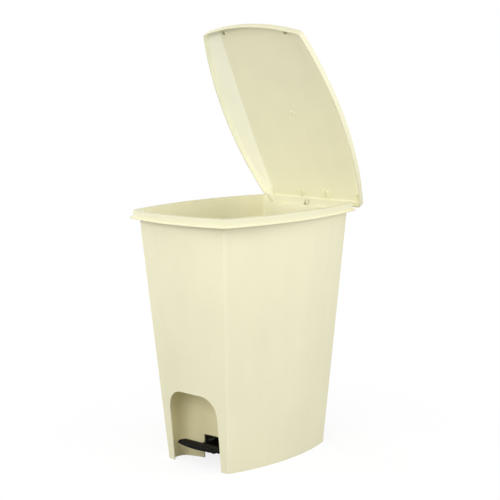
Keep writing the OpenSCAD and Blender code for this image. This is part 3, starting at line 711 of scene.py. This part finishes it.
def niche_curve(grow):
    """Right side, corner circle and bowed back of the niche, mirrored to the left side.

    The corner circle touches the big circle of the back and the straight side."""
    bow_y = NICHE_BACK - NICHE_BOW
    cx = NICHE_HALF - NICHE_R
    cy = bow_y + math.sqrt((NICHE_BOW - NICHE_R) ** 2 - cx ** 2)
    tangent = math.atan2(cy - bow_y, cx)
    side = np.stack([np.full(NICHE_SIDE, NICHE_HALF + grow),
                     np.linspace(NICHE_FRONT, cy, NICHE_SIDE)], -1)
    turn, small, big = np.linspace(0, tangent, NICHE_TURN)[1:], NICHE_R + grow, NICHE_BOW + grow
    corner = np.stack([cx + small * np.cos(turn), cy + small * np.sin(turn)], -1)
    back = np.stack([NICHE_X, bow_y + np.sqrt(big ** 2 - NICHE_X ** 2)], -1)
    half = np.concatenate([side, corner, back])
    return np.concatenate([half, half[-2::-1] * [-1, 1]])


def y_at(x, curve):
    """Y of a curve at each x, read between its points."""
    curve = curve[np.argsort(curve[:, 0])]
    return np.interp(x, curve[:, 0], curve[:, 1])


def front_mid(x, z):
    """Y of the middle of the front wall's thickness at a height, so that what ends there is held."""
    curve = wall_plan([z], -WALL / 2)[0]
    return y_at(x, curve[curve[:, 1] < 0])


def niche_grid(grow):
    """The niche's curve at each height, with its open ends moved to the middle of the wall."""
    curve = niche_curve(grow)
    grid = np.zeros((len(NICHE_Z), len(curve), 3))
    grid[..., :2] = curve
    grid[..., 2] = NICHE_Z[:, None]
    ends = np.array([front_mid(np.array([NICHE_HALF]), z)[0] for z in NICHE_Z])
    share = np.linspace(1, 0, NICHE_SIDE)[None, :]
    back_y = curve[NICHE_SIDE - 1, 1]
    for cols in (slice(0, NICHE_SIDE), slice(-1, -NICHE_SIDE - 1, -1)):
        grid[:, cols, 1] = back_y + (ends[:, None] - back_y) * share
    return grid


niche_in, niche_out = niche_grid(0.0), niche_grid(WALL)
slot_cols = np.abs(niche_in[0, :, 0])
slot_mid = (slot_cols[1:] + slot_cols[:-1]) / 2
slot_open = (NICHE_Z[:-1, None] < SLOT_TOP) & (slot_mid[None, :] < SLOT_HALF)
slot_open = np.concatenate([slot_open, np.zeros((len(slot_open), 1), bool)], 1)
niche_part = sheet_part(niche_out, niche_in, slot_open)
print("cells left out for the pedal's slot:", int(slot_open.sum()))

# %% Ceiling of the niche
PLATE_ROWS, CEILING_COLUMNS, CEILING_BITE = 6, 41, 1


def plate_between(x, low_y, high_y, low_z, high_z):
    """A flat plate between two curves over X: rows share the way from one curve to the other."""
    share = np.linspace(0, 1, PLATE_ROWS)[:, None]
    y = low_y[None, :] + (high_y - low_y)[None, :] * share
    skins = [np.stack([np.broadcast_to(x, y.shape), y, np.full(y.shape, z)], -1)
             for z in (high_z, low_z)]
    return sheet_part(*skins)


def niche_back_y(x, grow):
    """Y of the niche's back at each x, without its straight sides."""
    curve = niche_curve(grow)
    return y_at(x, curve[np.abs(curve[:, 0]) < NICHE_HALF + grow - SLIT / 2])


ceiling_half = NICHE_HALF + CEILING_BITE
ceiling_x = np.linspace(-ceiling_half, ceiling_half, CEILING_COLUMNS)
ceiling_part = plate_between(ceiling_x, front_mid(ceiling_x, NICHE_TOP),
                             niche_back_y(ceiling_x, WALL / 2), NICHE_TOP, NICHE_TOP + WALL)
print("the niche's ceiling is", 2 * ceiling_half, "mm wide")

# %% Floor plate
FLOOR_Z, FLOOR_T, FLOOR_BITE = 56.0, 3.0, 0.8
FLOOR_MID_COLUMNS, FLOOR_SIDE_COLUMNS, FLOOR_STEP = 45, 14, 0.05


def floor_plate():
    """A plate from side wall to side wall. Its front edge is the niche, or the wall beside it. Its
    rim lies FLOOR_BITE of the wall's thickness inside the outer face."""
    curve = wall_plan([FLOOR_Z], -FLOOR_BITE * WALL)[0]
    edge = NICHE_HALF + WALL / 2
    outer_x = np.linspace(edge + FLOOR_STEP, curve[:, 0].max(), FLOOR_SIDE_COLUMNS)
    x = np.concatenate([-outer_x[::-1], np.linspace(-edge, edge, FLOOR_MID_COLUMNS), outer_x])
    halves = []
    for sign in (-1, 1):
        halves.append(y_at(x, curve[curve[:, 1] * sign > -1e-9]))
    front = np.where(np.abs(x) <= edge, niche_back_y(x, WALL / 2), halves[0])
    return plate_between(x, front, halves[1], FLOOR_Z, FLOOR_Z + FLOOR_T)


floor_part = floor_plate()
print("floor plate reaches from", floor_part[0].min(0).round(1), "to", floor_part[0].max(0).round(1))

# %% [markdown]
# ## Small solids: prisms and turned shapes
# Ribs, lugs and ears are side views pushed along X, with a softened edge and, where a pin goes
# through, a real bore. Bosses are turned from a profile. A boolean could cut the bores, but it
# leaves ragged faces; here each point of the outline has its partner on the bore.

# %% Prisms and turned parts
LUG_SOFT, BORE_SOFT, LUG_STEP = 0.4, 0.3, 1.5


def densified(outline, step):
    """The outline with extra points, so that no edge is longer than step."""
    runs = []
    for a, b in zip(outline, np.roll(outline, -1, 0)):
        n = max(1, int(np.ceil(np.linalg.norm(b - a) / step)))
        runs.append(a + (b - a) * np.arange(n)[:, None] / n)
    return np.concatenate(runs)


def inset(outline, amount):
    """Moves each point inward along the mean of its two edges' normals. Outlines go left round."""
    ahead = np.roll(outline, -1, 0) - outline
    ahead = ahead / np.linalg.norm(ahead, axis=1, keepdims=True)
    way = ahead + np.roll(ahead, 1, 0)
    way = way / np.maximum(np.linalg.norm(way, axis=1, keepdims=True), 1e-9)
    return outline + amount * np.stack([-way[:, 1], way[:, 0]], -1)


def along_x(rings):
    """Points of (y, z) outlines that stand each at its own X."""
    return np.concatenate([np.column_stack([np.full(len(o), x), o]) for o, x in rings])


def prism(outline, x0, x1, soft):
    """A (y, z) outline pushed from x0 to x1, with both ends' edges softened."""
    outline = np.asarray(outline, float)
    small = inset(outline, soft)
    rings = [(small, x0), (outline, x0 + soft), (outline, x1 - soft), (small, x1)]
    n = len(outline)
    faces = [tuple(f) for f in grid_faces(len(rings), n)]
    faces += [tuple(range(n)), tuple(range(3 * n, 4 * n))]
    return along_x(rings), faces


def bored_prism(outline, centre, hole_r, x0, x1):
    """A prism with a bore: each point of the outline faces the bore's point at its own angle."""
    outline = densified(np.asarray(outline, float), LUG_STEP)
    ray = outline - centre
    ray = ray / np.linalg.norm(ray, axis=1, keepdims=True)
    small = inset(outline, LUG_SOFT)
    bore, bore_edge = centre + ray * hole_r, centre + ray * (hole_r + BORE_SOFT)
    rings = [(bore, x0 + BORE_SOFT), (bore_edge, x0), (small, x0), (outline, x0 + LUG_SOFT),
             (outline, x1 - LUG_SOFT), (small, x1), (bore_edge, x1), (bore, x1 - BORE_SOFT)]
    n = len(outline)
    last = (len(rings) - 1) * n
    here, after = np.arange(n), (np.arange(n) + 1) % n
    close = np.stack([here + last, after + last, after, here], -1)
    return along_x(rings), np.concatenate([grid_faces(len(rings), n), close])


def arc(centre, radius, first, last, steps):
    """Points of an arc, angles in degrees from +Y towards +Z."""
    t = np.radians(np.linspace(first, last, steps))
    return np.stack([centre[0] + radius * np.cos(t), centre[1] + radius * np.sin(t)], -1)


def capped_faces(rows, cols):
    """Faces of a wrapped grid whose first and last rows close on two poles, numbered after it."""
    last, pole = (rows - 1) * cols, rows * cols
    faces = [tuple(f) for f in grid_faces(rows, cols)]
    faces += [(c, (c + 1) % cols, pole) for c in range(cols)]
    return faces + [(last + (c + 1) % cols, last + c, pole + 1) for c in range(cols)]


def turned(profile, steps, place):
    """A profile of (radius, along) turned round an axis and put in place; radius 0 is a pole."""
    profile = np.asarray(profile, float)
    t = np.linspace(0, 2 * np.pi, steps, endpoint=False)
    ring = np.stack([np.cos(t), np.sin(t)], -1)
    inner_rows = profile[1:-1]
    grid = np.concatenate([inner_rows[:, None, :1] * ring[None],
                           np.broadcast_to(inner_rows[:, None, 1:], (len(inner_rows), steps, 1))], -1)
    poles = np.array([[0, 0, profile[0, 1]], [0, 0, profile[-1, 1]]])
    points = np.concatenate([grid.reshape(-1, 3), poles])
    return place(points), capped_faces(len(inner_rows), steps)


square = np.array([[0, 0], [1, 0], [1, 1], [0, 1.0]])
print("a prism over a square has", len(prism(square, 0, 2, 0.1)[1]), "faces")

# %% Ribs, bosses and lugs of the shell
REAR_Y0 = FOOT["d"] + FOOT["y"]
TILT = math.atan((RIM["d"] - REAR_Y0) / BODY_H)
RIB_HALF, RIB_T, RIB_H = 12.0, 3.0, 17.0
RIB_LOW, RIB_TOP, RIB_ROOT, RIB_STEP, RIB_SOFT = 62.0, 539.0, -1.2, 40, 0.5
BOSS_X, BOSS_R, BOSS_Z, BOSS_SOFT = 20.5, 4.5, (92.0, 470.0), 0.5
HINGE = np.array([226.0, 530.0])
EAR_X, EAR_W, EAR_GAP, LUG_W, BARREL_R = 36.0, 10.0, 0.5, 5.0, 6.0
PIN_BORE = 3.05
HINGE_BRACKET = [[220, 539.5], [205.3, 538.9], [202.6, 495], [228, 522]]
# the fence's upper part over the hole of the lift lug
BRIDGE = [[215.5, 543.5], [217.9, 543.5], [217.9, 553.4], [217.4, FENCE_TOP], [216.0, FENCE_TOP],
          [215.5, 553.4]]
BRIDGE_BITE, THIN_SOFT = 0.8, 0.3
AXLE = np.array([15.0, 27.0])
AXLE_BORE, AXLE_LUG_R, AXLE_LUG = 4.03, 9.0, (24.0, 28.0)
AXLE_WEB = [[24, 36], [41, 57], [-11, 57], [6, 36]]


def on_rear_wall(points):
    """From the rear wall's own frame, Y out of the wall and Z up along it, to the bin's frame."""
    x, y, z = points.T
    return np.stack([x, REAR_Y0 + y * math.cos(TILT) + z * math.sin(TILT),
                     z * math.cos(TILT) - y * math.sin(TILT)], -1)


def rear_rib(x0, x1):
    """A rib of the rod's channel: a long rectangle, standing RIB_H out of the rear wall."""
    outline = np.array([[RIB_ROOT, RIB_LOW], [RIB_H, RIB_LOW], [RIB_H, RIB_TOP], [RIB_ROOT, RIB_TOP]])
    points, faces = prism(densified(outline, RIB_STEP), x0, x1, RIB_SOFT)
    return on_rear_wall(points), faces


def screw_boss(x, z):
    """A round boss, standing out of the wall, with a softened end round the screw."""
    profile = [(0, RIB_ROOT), (BOSS_R, RIB_ROOT), (BOSS_R, RIB_H - BOSS_SOFT),
               (BOSS_R - BOSS_SOFT, RIB_H), (0, RIB_H)]
    return turned(profile, 28, lambda p: on_rear_wall(p[:, [0, 2, 1]] + [x, 0, z]))


def hinge_lug(x0, x1):
    """Lug of the shell: a barrel round the pin on a bracket that grows out of the rear wall."""
    barrel = arc(HINGE, BARREL_R, -26, 90, 18)
    return bored_prism(np.concatenate([barrel, HINGE_BRACKET]), HINGE, PIN_BORE, x0, x1)


def axle_lug(x0, x1):
    """Lug under the floor: half a circle round the axle on a web that widens up to the plate."""
    low_half = arc(AXLE, AXLE_LUG_R, 180, 360, 22)
    return bored_prism(np.concatenate([low_half, AXLE_WEB]), AXLE, AXLE_BORE, x0, x1)


lug_starts = (EAR_X - EAR_W / 2 - EAR_GAP - LUG_W, EAR_X + EAR_W / 2 + EAR_GAP)
small_parts = [rear_rib(-RIB_HALF - RIB_T, -RIB_HALF), rear_rib(RIB_HALF, RIB_HALF + RIB_T)]
small_parts += [screw_boss(x, z) for x in (-BOSS_X, BOSS_X) for z in BOSS_Z]
small_parts += [hinge_lug(x, x + LUG_W) for x in lug_starts]
small_parts += [hinge_lug(-x - LUG_W, -x) for x in lug_starts]
small_parts += [prism(BRIDGE, -NOTCH - BRIDGE_BITE, NOTCH + BRIDGE_BITE, THIN_SOFT)]
small_parts += [axle_lug(*AXLE_LUG), axle_lug(-AXLE_LUG[1], -AXLE_LUG[0])]
bin_shell = make_piece("bin_shell", [shell_part, niche_part, ceiling_part, floor_part] + small_parts,
                       creams["cream_plastic"], "bin", "bin_body")

# %% [markdown]
# ## Finishes of the shell
# The outer corners get a paler tone as a painted highlight, the band of the rim and the fence a
# darker tone as painted shade, and the niche a yellower tone as painted bounce light in its shade.
# Paint on an image could show it, but the shell has clear regions already, so each face gets the
# number of a finish from where its middle lies and which way it looks.

# %% The shell's finishes
RIM_FROM, CORNER_TO = BODY_H + 1.5, BODY_H - 1
CORNER_X, CORNER_Y, CORNER_TURN = 84, 140, (0.37, 0.40)
NICHE_DEEP, NICHE_MOUTH, FACING_BACK, OFF_GROUND = -99, -155, 0.3, 0.2
SIDE_SLACK, TOP_SLACK = 0.6, 0.5


def shell_finishes(mesh):
    """Number of each face's finish: 1 on the band and the fence, darker as painted shade, 2 on the
    outer corners, paler as a painted highlight, 3 on the walls and the ceiling of the niche,
    yellower as painted bounce light, 0 elsewhere."""
    middle, normal = face_facts(mesh)
    x, y, z = middle.T
    sideways, lengthways = np.abs(normal[:, :2]).T
    outward = (normal[:, :2] * middle[:, :2]).sum(1) > 0
    # The outer corners get a paler tone: a painted highlight.
    corner = outward & (sideways > CORNER_TURN[0]) & (lengthways > CORNER_TURN[1])
    corner &= (np.abs(x) > CORNER_X) & (np.abs(y) > CORNER_Y) & (z < CORNER_TO)
    # The niche gets a yellower tone: painted bounce light in its shade.
    niche = (np.abs(x) < NICHE_HALF + SIDE_SLACK) & (y > NICHE_MOUTH) & (y < NICHE_DEEP)
    niche &= (normal[:, 1] < FACING_BACK) & (z > OFF_GROUND) & (z < NICHE_TOP + TOP_SLACK)
    # The band of the rim and the fence get a darker tone: painted shade.
    return np.select([z > RIM_FROM, corner, niche], [1, 2, 3], 0)


for finish in ("rim_shaded_plastic", "corner_highlight_plastic", "niche_bounce_light_plastic"):
    bin_shell.data.materials.append(creams[finish])
finish_faces(bin_shell.data, shell_finishes(bin_shell.data))

# %% [markdown]
# ## The lid
# The lid is one moulding too: a skirt that drops over the rim, a slanted facet along each side
# and a panel that is arched from front to back and nearly flat across. Subdivision of a coarse
# cage would blur the crease between facet and panel, so the skins are worked out row by row: from
# the middle of the outside, over crease and skirt, round the lip, and back to the middle inside.
# It is drawn shut and then turned about the hinge.

# %% Sizes of the lid
# LID is the plan of the skirt, and CROWN is the plan of the crease between facet and panel
LID_Z = 543.5
LID = {"half_w": 138.5, "half_d": 223.0, "side": 33.5, "front": 20.0, "r": 9.0, "y": -2.2}
CROWN = {"half_w": 114.3, "half_d": 223.65, "side": 20.3, "front": 10.7, "r": 3.0, "y": -6.85}
CROWN_TAPER, CROWN_END = 13.0, 4.0
SKIRT_H, LOW_RISE, DOME_RISE, CROSS_RISE, LID_WALL = 14.0, 3.5, 17.0, 1.5, 2.4
LID_OPEN = math.radians(60.0)
END_COLUMNS, END_BOW, LEAST_R = 20, 0.4, 0.8


def even_columns(edge):
    """X of an end's columns, evenly from the corner to the middle."""
    return edge[:, None] * np.linspace(1, 0, END_COLUMNS)[None, :]


def along(x, y):
    """Place along the lid: -1 at the bowed front edge, 0 in the middle and 1 at the back."""
    front = LID["front"] * (1 - (x / LID["half_w"]) ** 2)
    return (y - LID["y"]) / (LID["half_d"] - CROWN_END + np.where(y < LID["y"], front, 0))


def crease_half(v):
    """Half width of the panel: bowed like the sides, and wider towards the hinge."""
    return CROWN["half_w"] + CROWN["side"] * np.maximum(1 - v * v, 0) + CROWN_TAPER * v


def outline_of(size, inside):
    """One ring of the lid's plan or of its crease, moved inward by inside.

    The crease is drawn even first; then its X values are stretched to the tapered half width."""
    ring = plan(size["half_w"] - inside, size["half_d"] - inside, size["side"], size["front"],
                END_BOW, max(size["r"] - inside, LEAST_R), size["y"], even_columns, even_columns)[0]
    if size is CROWN:
        v = along(ring[:, 0], ring[:, 1])
        ring[:, 0] *= crease_half(v) / (crease_half(v) - CROWN_TAPER * v)
    return ring


def dome_height(x, y, inside):
    """Height of the panel over the skirt's foot: v runs from -1 at the front edge to 1 at the
    back, and the height is low plus rise times (1 - v squared), with a slight crown across."""
    v = along(x, y)
    u = x / crease_half(v)
    rise = DOME_RISE + CROSS_RISE * (1 - np.minimum(u * u, 1))
    return SKIRT_H + LOW_RISE - inside + rise * np.maximum(1 - v ** 2, 0)


def open_up(points):
    """Turns the shut lid's points to the drawn pose, about the hinge."""
    x, y, z = np.asarray(points, float).reshape(-1, 3).T
    c, s = math.cos(LID_OPEN), math.sin(LID_OPEN)
    dy, dz = y - HINGE[0], z - HINGE[1]
    return np.stack([x, HINGE[0] + dy * c + dz * s, HINGE[1] - dy * s + dz * c], -1)


print("the panel rises", DOME_RISE + CROSS_RISE, "mm over its ends")

# %% Skins of the lid
PANEL_SHARES = (0.04, 0.12, 0.22, 0.32, 0.42, 0.52, 0.62, 0.71, 0.8, 0.88, 0.94)
FOOT_TOP, LIP_H, LIP_R, MOST_OF_WAY = 2.0, 3.0, 0.8, 0.4
OUTER_SOFT, INNER_SOFT = (2.6, 4.0), (1.2, 1.6)
CREASE_STEPS, SHOULDER_STEPS = 5, 4


def at_height(ring, z):
    """Puts a flat ring at height z, which is one number or one for each point."""
    return np.column_stack([ring, np.broadcast_to(z, len(ring))])


def fair(radius, first, second):
    """The rounding wanted, but at most MOST_OF_WAY of the way between two rings."""
    way = np.linalg.norm(second - first, axis=-1, keepdims=True)
    return np.minimum(radius, MOST_OF_WAY * way)


def skin_rows(inside, shoulder_r, crease_r):
    """Rows of one skin from the middle of the panel to above the lip."""
    edge, crown = outline_of(LID, inside), outline_of(CROWN, inside)
    middle = np.array([0.0, LID["y"]])
    panel = [middle + (crown - middle) * share for share in PANEL_SHARES] + [crown]
    *rings, crease = [at_height(ring, dome_height(*ring.T, inside)) for ring in panel]
    shoulder = at_height(edge, SKIRT_H - inside)
    foot = at_height(edge, FOOT_TOP)
    crease_r, shoulder_r = fair(crease_r, crease, shoulder), fair(shoulder_r, crease, shoulder)
    rings += list(soft_corner(rings[-1], crease, shoulder, crease_r, CREASE_STEPS))
    rings.append((crease + shoulder) / 2)
    rings += list(soft_corner(crease, shoulder, foot, shoulder_r, SHOULDER_STEPS))
    return np.stack(rings)


def lip_rows():
    """Rows round the skirt's foot, from the outside to the inside."""
    out, inn = outline_of(LID, 0.0), outline_of(LID, LID_WALL)
    spots = [at_height(out, LIP_H), at_height(out, 0.0), at_height(inn, 0.0), at_height(inn, LIP_H)]
    return np.concatenate([soft_corner(*spots[:3], LIP_R, SOFT_STEPS),
                           soft_corner(*spots[1:], LIP_R, SOFT_STEPS)])


lid_grid = np.concatenate([skin_rows(0.0, *OUTER_SOFT), lip_rows(),
                           skin_rows(LID_WALL, *INNER_SOFT)[::-1]])
poles = [[0, LID["y"], float(dome_height(0.0, LID["y"], inside))] for inside in (0.0, LID_WALL)]
lid_points = np.concatenate([lid_grid.reshape(-1, 3), poles]) + [0, 0, LID_Z]
lid_faces = capped_faces(*lid_grid.shape[:2])
print("lid grid:", lid_grid.shape)

# %% Ears, lift lug, gussets and bosses of the lid
LUG_LOW = math.radians(42.2) - TILT
LUG_REACH, LUG_FOOT, LUG_HALF = 12.4, 3.5, 4.0
LUG_NECK = [[221.0, 543.5], [221.0, 556.5], [219.2, 556.5], [219.0, 544], [218.6, 538]]
EAR_NECK = [[222.2, 555.5], [219.6, 557], [219.6, 543.9]]
BUMPER_X, BUMPER_Y, BUMPER_T = 88.0, -222.0, 1.8
BUMPER_BOSS = [(0, 0), (4.6, 0), (5.0, 0.4), (5.0, 3.6), (0, 3.6)]
GUSSET_X, GUSSET_HALF = (-126.0, -41.0, -31.0, 31.0, 41.0, 126.0), 1.4
GUSSET_Y = np.linspace(217.9, 194.3, 8)
GUSSET_REAR = [[218.7, 547.5], [220.3, 547.5], [220.3, 557.5]]
GUSSET_FRONT = [[196.2, 557.1], [218.0, 557.1]]
NUB = [(0, 2.2), (2.2, 1.9), (3.2, 1.1), (3.6, -0.6), (0, -1.0)]
RING = [(0, -0.9), (9.4, -0.9), (10.0, 0.6), (11.2, 0.6), (11.8, -0.9), (0, -1.4)]
GATE_X, NUB_Y, RING_Y = 5.5, -8.4, 2.3


def lid_middle(x, y):
    """Height of the middle of the lid's wall: the panel inside the crease, and outside it a
    straight way down to the skirt's top."""
    v = np.clip(along(x, y), -1, 1)
    crease = crease_half(v)
    edge = LID["half_w"] + LID["side"] * (1 - v * v)
    top = dome_height(np.minimum(np.abs(x), crease), y, LID_WALL / 2)
    low = SKIRT_H - LID_WALL / 2
    out = np.clip((np.abs(x) - crease) / (edge - crease), 0, 1)
    return LID_Z + top + (low - top) * out


def gusset(x):
    """A thin plate in the corner between the skirt at the back and the panel."""
    top = np.column_stack([GUSSET_Y, lid_middle(np.full(len(GUSSET_Y), x), GUSSET_Y)])
    outline = np.concatenate([GUSSET_REAR, top, GUSSET_FRONT])
    return prism(outline, x - GUSSET_HALF, x + GUSSET_HALF, THIN_SOFT)


def ear(x):
    """An ear of the lid: most of a circle round the pin, on a neck that runs into the skirt."""
    barrel = arc(HINGE, BARREL_R, 160, 400, 30)
    return bored_prism(np.concatenate([barrel, EAR_NECK]), HINGE, PIN_BORE, x - EAR_W / 2, x + EAR_W / 2)


def lift_lug():
    """The lug that the rod pushes: a round sole at LUG_REACH from the pin, on a neck."""
    foot = HINGE - LUG_REACH * np.array([math.cos(LUG_LOW), math.sin(LUG_LOW)])
    sole = arc(foot, LUG_FOOT, 180, 360, 16)
    return prism(np.concatenate([sole, LUG_NECK]), -LUG_HALF, LUG_HALF, RIB_SOFT)


def bumper_boss(x):
    """A short round boss that holds a bumper a little over the top of the shut rim."""
    return turned(BUMPER_BOSS, 24, lambda p: p + [x, BUMPER_Y, TOP_Z + BUMPER_T])


def gate_mark(x, y, profile, steps):
    """A small turned mark on the panel's inner skin; the profile's heights count from the skin
    down, and what is above it is inside the plastic."""
    skin = LID_Z + float(dome_height(x, y, LID_WALL))
    return turned([(r, skin - h) for r, h in profile], steps, lambda p: p + [x, y, 0])


lid_parts = [ear(-EAR_X), ear(EAR_X), lift_lug(), bumper_boss(-BUMPER_X), bumper_boss(BUMPER_X)]
lid_parts += [gate_mark(GATE_X, NUB_Y, NUB, 32), gate_mark(GATE_X, RING_Y, RING, 48)]
lid_parts += [gusset(x) for x in GUSSET_X]
lid_parts = [(open_up(points), faces) for points, faces in [(lid_points, lid_faces)] + lid_parts]
# The lid's base tone is darker than the bin's: painted shade.
lid = make_piece("lid_shell", lid_parts, creams["lid_shaded_plastic"], "lid", "lid")

# %% [markdown]
# ## Finishes of the lid
# The lid's tones are painted light and shade: its outside is darker, the panel's inner side paler,
# and the facet on the left the palest part. As on the shell, each face gets a number. The tests are
# easier on a shut lid, so the middles of the faces are turned back first.

# %% The lid's inner skin
FACES_DOWN, FACES_SIDE = -0.35, 0.5
OVER_LIP, OVER_FOOT = LID_Z + 0.5, LID_Z + 4
CREASE_SLACK, SKIRT_X, FLANK_X, FLANK_Y = 1.5, -80, 52, 185


def lid_finishes(mesh):
    """Number of each face's finish: 1 on the inner skin, paler as painted light, 2 on its left facet,
    the left skirt and the flanks of the ears, palest as painted light, 0 elsewhere, darker as painted
    shade. Each face's middle is turned back to the shut lid and held against the crease."""
    middle, normal = face_facts(mesh)
    x, y, z = middle.T
    c, s = math.cos(LID_OPEN), math.sin(LID_OPEN)
    dy, dz = y - HINGE[0], z - HINGE[1]
    flat_y, flat_z = HINGE[0] + dy * c - dz * s, HINGE[1] + dy * s + dz * c
    v = along(x, flat_y)
    within = (np.abs(v) < 1.0) & (flat_z > OVER_LIP)
    # The inner skin gets a paler tone: painted light.
    inside = within & (normal @ [0, s, c] < FACES_DOWN) & (flat_z > OVER_FOOT)
    # The left facet, the left skirt and the flanks of the ears get the palest tone: painted light.
    facet = inside & (x < CREASE_SLACK - crease_half(np.clip(v, -1, 1)))
    skirt = within & (x < SKIRT_X) & (normal[:, 0] > FACES_SIDE)
    flank = (np.abs(x) < FLANK_X) & (flat_y > FLANK_Y) & (np.abs(normal[:, 0]) > FACES_SIDE)
    return np.where(facet | skirt | flank, 2, np.where(inside, 1, 0))


for finish in ("lid_panel_lit_plastic", "lid_facet_highlight_plastic"):
    lid.data.materials.append(creams[finish])
finish_faces(lid.data, lid_finishes(lid.data))

# %% [markdown]
# ## Looks of the carried-over nodes
# Pins, clips, screws, spacers, guides, pedal and lever are plain machined or moulded shapes, and
# the frame draws them as they are. To model them again would add nothing, so they keep the
# frame's own shapes and only get the right finish.

# %% Finishes of the nodes
LOOKS = [(creams["cream_plastic"], ["rear_cover"]), (black, ["pedal"]),
         (white_nylon, ["rod_guide_lower", "rod_guide_upper", "axle_spacer_left",
                        "axle_spacer_right", "rod_head"]),
         (grey_rubber, ["bumper_left", "bumper_right"]),
         (bar_steel, ["lever_bar"]), (rod_steel, ["lift_rod"]),
         (pin_steel, ["hinge_pin_left", "hinge_pin_right", "pedal_axle", "axle_clip_left",
                      "axle_clip_right", "pedal_rivets", "rod_clip", "cover_screws"])]
for material, nodes in LOOKS:
    for node in nodes:
        bpy.data.objects[node].data.materials.clear()
        bpy.data.objects[node].data.materials.append(material)
print("dressed", sum(len(nodes) for _, nodes in LOOKS), "nodes")

# %% [markdown]
# ## Floor, sky and lamps
# A pale thing on a pale ground needs light from all round, or its own shadows make it look dirty. A
# white room of real walls would take long to render, so an even sky gives most of the light, and
# six large soft lamps say which side is which. The floor only keeps the bin's shadow: further out
# it is shown as plain white.

# %% Floor
FLOOR_HALF_M, FLOOR_TONE, SEEN_TONE, FLOOR_CLOUD = 12.0, 0.36, 0.95, 0.01
SHADOW_NEAR, SHADOW_FAR = (0.22, 0.84), (0.75, 1.0)


def add_floor(half, tone):
    """A large pale plane. The camera sees it mixed with plain white, all white further out, so
    that only the bin's shadow is left on it."""
    mesh = bpy.data.meshes.new("floor")
    mesh.from_pydata([(-half, -half, 0), (half, -half, 0), (half, half, 0), (-half, half, 0)], [],
                     [(0, 1, 2, 3)])
    f = Finish("floor")
    seen = f.node("ShaderNodeLightPath", {}, {}, "Is Camera Ray")
    shade = f.mix(f.noise(3.0), (tone, tone, tone), (tone + FLOOR_CLOUD,) * 3)
    f.surface(colour=f.mix(seen, shade, (SEEN_TONE,) * 3), roughness=0.9, specular=0.0)
    glow = f.node("ShaderNodeEmission", {}, {"Color": (1, 1, 1, 1), "Strength": 1.0})
    away = f.node("ShaderNodeVectorMath", {"operation": "LENGTH"}, {0: f.place}, "Value")
    far = f.ramp(away, [SHADOW_NEAR, SHADOW_FAR])
    shown = f.node("ShaderNodeMixShader", {}, {0: far * seen, 1: Value(f, f.bsdf.outputs[0]), 2: glow})
    f.feed(f.tree.nodes["Material Output"].inputs["Surface"], shown)
    mesh.materials.append(f.material)
    floor = add_object("floor", mesh)
    return floor


floor = add_floor(FLOOR_HALF_M, FLOOR_TONE)
print(floor.name, "is", 2 * FLOOR_HALF_M, "m wide")

# %% Sky
AMBIENT = 0.42


def pale_sky(ambient):
    """An even sky: ambient for the light on things, 1 (plain white) where it is seen or mirrored,
    which is ambient + (1 - ambient) times the largest of three yes-or-no values."""
    world = bpy.data.worlds.new("sky")
    bpy.context.scene.world = world
    world.use_nodes = True
    world.node_tree.nodes.clear()
    sky = Tree(world.node_tree)
    seen = 0.0
    for ray in ("Is Camera Ray", "Is Glossy Ray", "Is Transmission Ray"):
        this = sky.node("ShaderNodeLightPath", {}, {}, ray)
        seen = sky.node("ShaderNodeMath", {"operation": "MAXIMUM"}, {0: seen, 1: this})
    strength = (1 - ambient) * seen + ambient
    light = sky.node("ShaderNodeBackground", {}, {"Color": (1, 1, 1, 1), "Strength": strength})
    sky.feed(sky.tree.nodes.new("ShaderNodeOutputWorld").inputs["Surface"], light)


pale_sky(AMBIENT)
print("sky lights with", AMBIENT, "of white")

# %% Lamps


def soft_lamp(name, place, target, size, watts):
    """A square lamp that faces a target; all in metres."""
    data = bpy.data.lights.new(name, "AREA")
    data.size = size
    data.energy = watts
    lamp = add_object(name, data)
    lamp.location = place
    way = np.array(target, float) - np.array(place, float)
    flat = math.hypot(way[0], way[1])
    lamp.rotation_euler = (math.atan2(flat, -way[2]), 0, math.atan2(-way[0], way[1]))
    lamp.visible_camera = False
    return lamp


MIDDLE = (0, 0, 0.45)
# each lamp's place, its width and its watts
LAMPS = {"front": ((0.2, -2.6, 1.2), 1.6, 30), "front_left": ((-1.8, -2.0, 1.3), 1.6, 17),
         "left": ((-2.6, 0.0, 1.2), 1.6, 21), "low_right": ((2.4, -0.3, 0.75), 1.2, 15),
         "back_right": ((2.0, 1.6, 1.2), 1.6, 30), "near_top": ((0.9, -1.1, 1.9), 1.0, 10)}
for name, (place, size, watts) in LAMPS.items():
    soft_lamp(name, place, MIDDLE, size, watts)
print("lamps:", ", ".join(LAMPS))
